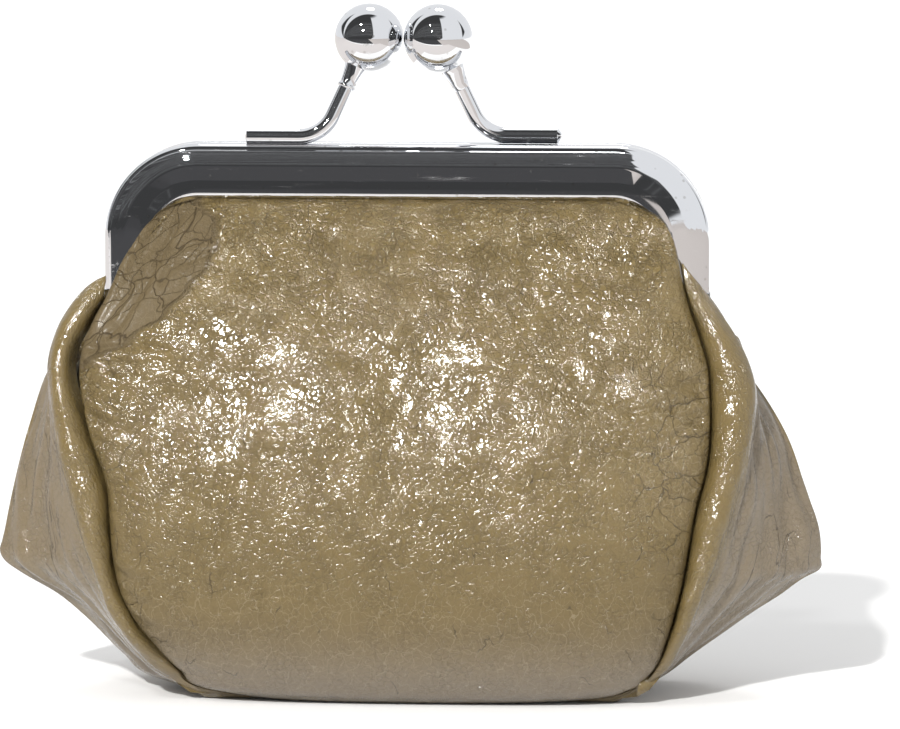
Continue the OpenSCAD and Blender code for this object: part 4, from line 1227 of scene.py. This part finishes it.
# The second number is how strongly a grey reflection is painted on the fold's flat; the right fold gets
# more.
FOLD_SEEDS_AND_REFLECTION = {"left": (51, 0.55), "right": (61, 0.75)}  # seed, greyness of the flat
for label, grid in fold_grids.items():
    move, worn, grey = fold_relief(grid, *FOLD_SEEDS_AND_REFLECTION[label])
    grid = raised(grid, move)
    thickness = LEATHER * (1 - 0.72 * ease(50, 59, grid[..., 2]))
    for half, part in fold_halves(grid, SIDES[label]).items():
        obj = sheet_shell(f"{label}_fold_{half}", grid[:, part], FINE_CELLS, fold_patent,
                          thickness[:, part], flat_place(grid[:, part]) * FOLD_GRAIN,
                          worn=worn[:, part], grey=grey[:, part])
        finished(obj, "leather", [f"{label}_gusset"])
        bends_with(obj, half, fold=True)

# %% [markdown]
# ## Lining, padding and paper cord
# Behind the leather lies a thin layer of wadding, which gives the purse its full shape, and
# then a cotton lining. Leather and lining go up into the channel together, and a twisted paper
# cord is pressed in behind them to hold them there. The cotton is a weave in the shader; the
# cord is two strands that Geometry Nodes twist round a path.


# %% Finishes of the inside
def woven_finish(name, body, dark, threads):
    """Plain woven cotton; threads is the number of threads in a millimetre."""
    material, tree, shader = principled(name)
    place = stored(tree, "flat", "Vector")
    split = add(tree, "SeparateXYZ", Vector=pushed(place, 0.004, 0.0004))
    across, along_cloth = (split[axis] * (threads * 1000 * math.pi) for axis in "XY")
    ribs = [phase.maths("COSINE").maths("ABSOLUTE") for phase in (across, along_cloth)]
    crossing = across.maths("SINE") * along_cloth.maths("SINE")
    height = crossing * 0.5 + ribs[0].maths("MAXIMUM", ribs[1]) * -0.5
    slub = noise(place, 900.0, 3.0)
    feed(shader, Base_Color=blended((height + slub).ranged(-0.3, 1.2), dark, body),
         Normal=bumped(height, 0.00008, 0.8), Roughness=0.9, Sheen_Weight=0.25)
    return material


def fibre_finish(name, body, dark, scale):
    """Felted or paper fibres: soft noise in colour and bump."""
    material, tree, shader = principled(name)
    hair = noise(add(tree, "TexCoord")["Object"], scale, 6.0, "3D", Roughness=0.7, Distortion=1.5)
    feed(shader, Base_Color=blended(hair.ranged(0.35, 0.65), dark, body),
         Normal=bumped(hair, 0.0002, 0.9), Roughness=0.95)
    return material


cotton = woven_finish("cotton_lining", linear(196, 184, 156), linear(150, 138, 110), 1.7)
wadding = fibre_finish("felted_wadding", linear(236, 232, 220), linear(206, 200, 186), 2600)
kraft = fibre_finish("kraft_paper", linear(206, 178, 132), linear(160, 130, 88), 3400)
print("inside finishes made")

# %% Where the lining and the padding lie
CLOTH, WADDING = 0.4, 0.86  # thicknesses
ROUNDNESS = (2.6, 2.6)
levels = np.concatenate([np.linspace(0, 54, 28), np.linspace(55.5, 74, 38)])


def set_back(outer, low, high):
    """A depth table moved inward by one amount low down and by another higher up."""
    return [(z, max(0.4, float(along(outer, z) - mix(low, high, ease(45, 51, z))))) for z in levels]


def lining_edge(outer):
    """Reach of a panel lining: beside the seam low down, inside the channel above the hinge."""
    reach = lambda z: mix(along(outer, z) - 1.7, min(mouth_reach(z) + 1.2, 35.9), ease(51.5, 57, z))
    return [(z, float(reach(z)) if z < 69.5 else 28.4) for z in levels]


def wadding_edge(outer):
    return [(z, float(along(outer, z)) - 3.4) for z in levels]


def told_as_sheet(grid):
    size, (rows, columns) = flat_place(grid), grid.shape[:2]


lining_middle = [(z, min(y, 2.3) if z >= 69.2 else y - 0.9 * float(ease(44, 50, z) * ease(70.5, 67.5, z)))
                 for z, y in set_back(middle_depth, 2.45, 1.6)]
lining_side = [(z, float(mix(along(edge_depth, z) - 1.9, 2.38, ease(50, 56.5, z)))) for z in levels]
wadding_depths = set_back(edge_depth, 0.9, 0.9), set_back(middle_depth, 1.28, 1.28)
print("lining and padding tables:", len(levels), "levels")

# %% Panel linings and padding
for half, left, right, face in (("front", left_edge, right_edge, 1), ("rear", right_edge, left_edge, -1)):
    grid = panel_grid(97, 81, 0, lining_edge(left), lining_edge(right), ROUNDNESS,
                      (lining_side, lining_middle), 28.0, 2.6)[0]
    x, z = grid[..., 0], grid[..., 2]
    slack = ease(66, 58, z) * ease(1, 8, z) * (0.22 * waves(x, z, 14, 71) + 0.08 * waves(x, z, 6, 73))
    grid = raised(grid, (slack - 0.3) * ease(70, 66, z) * ease(0, 3, z)) * [face, face, 1]
    cloth = sheet_shell(f"{half}_lining_cloth", grid, 1, cotton, CLOTH)
    finished(cloth, "lining", [f"{half}_lining", f"{half}_lining_top"])
    told_as_sheet(grid)
    bends_with(cloth, half)

    pad = panel_grid(120, 61, 0, wadding_edge(left), wadding_edge(right), ROUNDNESS, wadding_depths)[0]
    pad = pad[(pad[:, 30, 2] < 46.0) & (pad[:, 30, 2] > 7.5)] * [face, face, 1]
    pad = pad[:(len(pad) - 1) // 2 * 2 + 1]
    piece = sheet_shell(f"{half}_wadding", pad, 1, wadding, WADDING)
    finished(piece, "padding", [f"{half}_padding"])
    bends_with(piece, half)


# %% Linings of the side folds
def fold_lining(edge, ridge, rows=49, columns=15):
    """Front half of a side fold's lining, on the right: straight from the seam to the ridge."""
    p = np.linspace(0, 1, columns)[None, :]
    top = mix(50.5, 46.2, ease(0, 1, p))
    level = mix(top, 3.5, np.linspace(0, 1, rows)[:, None])
    start, depth = along(edge, level) - 0.9, along(edge_depth, level) - 3.1
    reach = np.maximum(along(ridge, level) - 3.4, start + 0.5)
    x = mix(start, reach, p) + 0.5 * np.sin(math.pi * p)
    return np.stack([x, -depth * (1 - p) ** 0.92, level], 2)


for label, side in SIDES.items():
    edge, _, _, ridge = fold_tables[label]
    half_grid = fold_lining(edge, ridge)
    grid = whole_fold(half_grid, half_grid, side)
    for half, part in fold_halves(grid, side).items():
        cloth = sheet_shell(f"{label}_fold_lining_{half}", grid[:, part], 1, cotton, CLOTH)
        finished(cloth, "lining", [f"{label}_gusset_lining"])
        told_as_sheet(grid[:, part])
        bends_with(cloth, half, fold=True)

# %% A Geometry Nodes tree that twists strands round a path
cord_tree, given, out = group_of(
    "GeometryNodeTree", "twisted cord",
    [("Geometry", "Geometry"), ("Cord radius", "Float", 0.0005), ("Turn length", "Float", 0.003),
     ("Material", "Material")],
    [("Geometry", "Geometry")])
path = add(cord_tree, "GeometryNodeMeshToCurve", Mesh=given["Geometry"])
path = add(cord_tree, "GeometryNodeResampleCurve", {"mode": "LENGTH"}, Curve=path, Length=0.00035)
travelled = add(cord_tree, "GeometryNodeSplineParameter")["Length"]
turns = travelled.maths("DIVIDE", given["Turn length"]) * (2 * math.pi)
turned_path = add(cord_tree, "GeometryNodeSetCurveTilt", Curve=path, Tilt=turns)
STRAND_SHARE, STRAND_OFFSET = 0.54, 0.46  # radius and distance from the middle, of the cord's radius
strand_ring = add(cord_tree, "GeometryNodeCurvePrimitiveCircle", Resolution=10,
                  Radius=given["Cord radius"] * STRAND_SHARE)
both = add(cord_tree, "GeometryNodeJoinGeometry")
for side in (-1, 1):
    shift = add(cord_tree, "CombineXYZ", X=given["Cord radius"] * (STRAND_OFFSET * side))
    strand = add(cord_tree, "GeometryNodeTransform", Geometry=strand_ring, Translation=shift)
    feed(both.socket.node, i0=add(cord_tree, "GeometryNodeCurveToMesh", Curve=turned_path,
                                  Profile_Curve=strand, Fill_Caps=True))
painted(cord_tree, out, both, given["Material"])

# %% The two paper cords
CORD_INWARD, CORD_DEPTH, CORD_FOOT = 3.75, 1.43, ARM_FOOT + 1.2
for half, sign in (("front", -1), ("rear", 1)):
    line = [(p[0] + n[0] * CORD_INWARD, sign * CORD_DEPTH, max(p[1], CORD_FOOT) + n[1] * CORD_INWARD)
            for p, n in frame_stations(24)]
    cord = from_nodes(f"{half}_paper_cord", line, np.ones(len(line)), cord_tree,
                      Cord_radius=0.52 * MM, Turn_length=2.6 * MM, Material=kraft)
    finished(cord, "paper_cord", [f"{half}_frame_cord"], f"{half}_half")
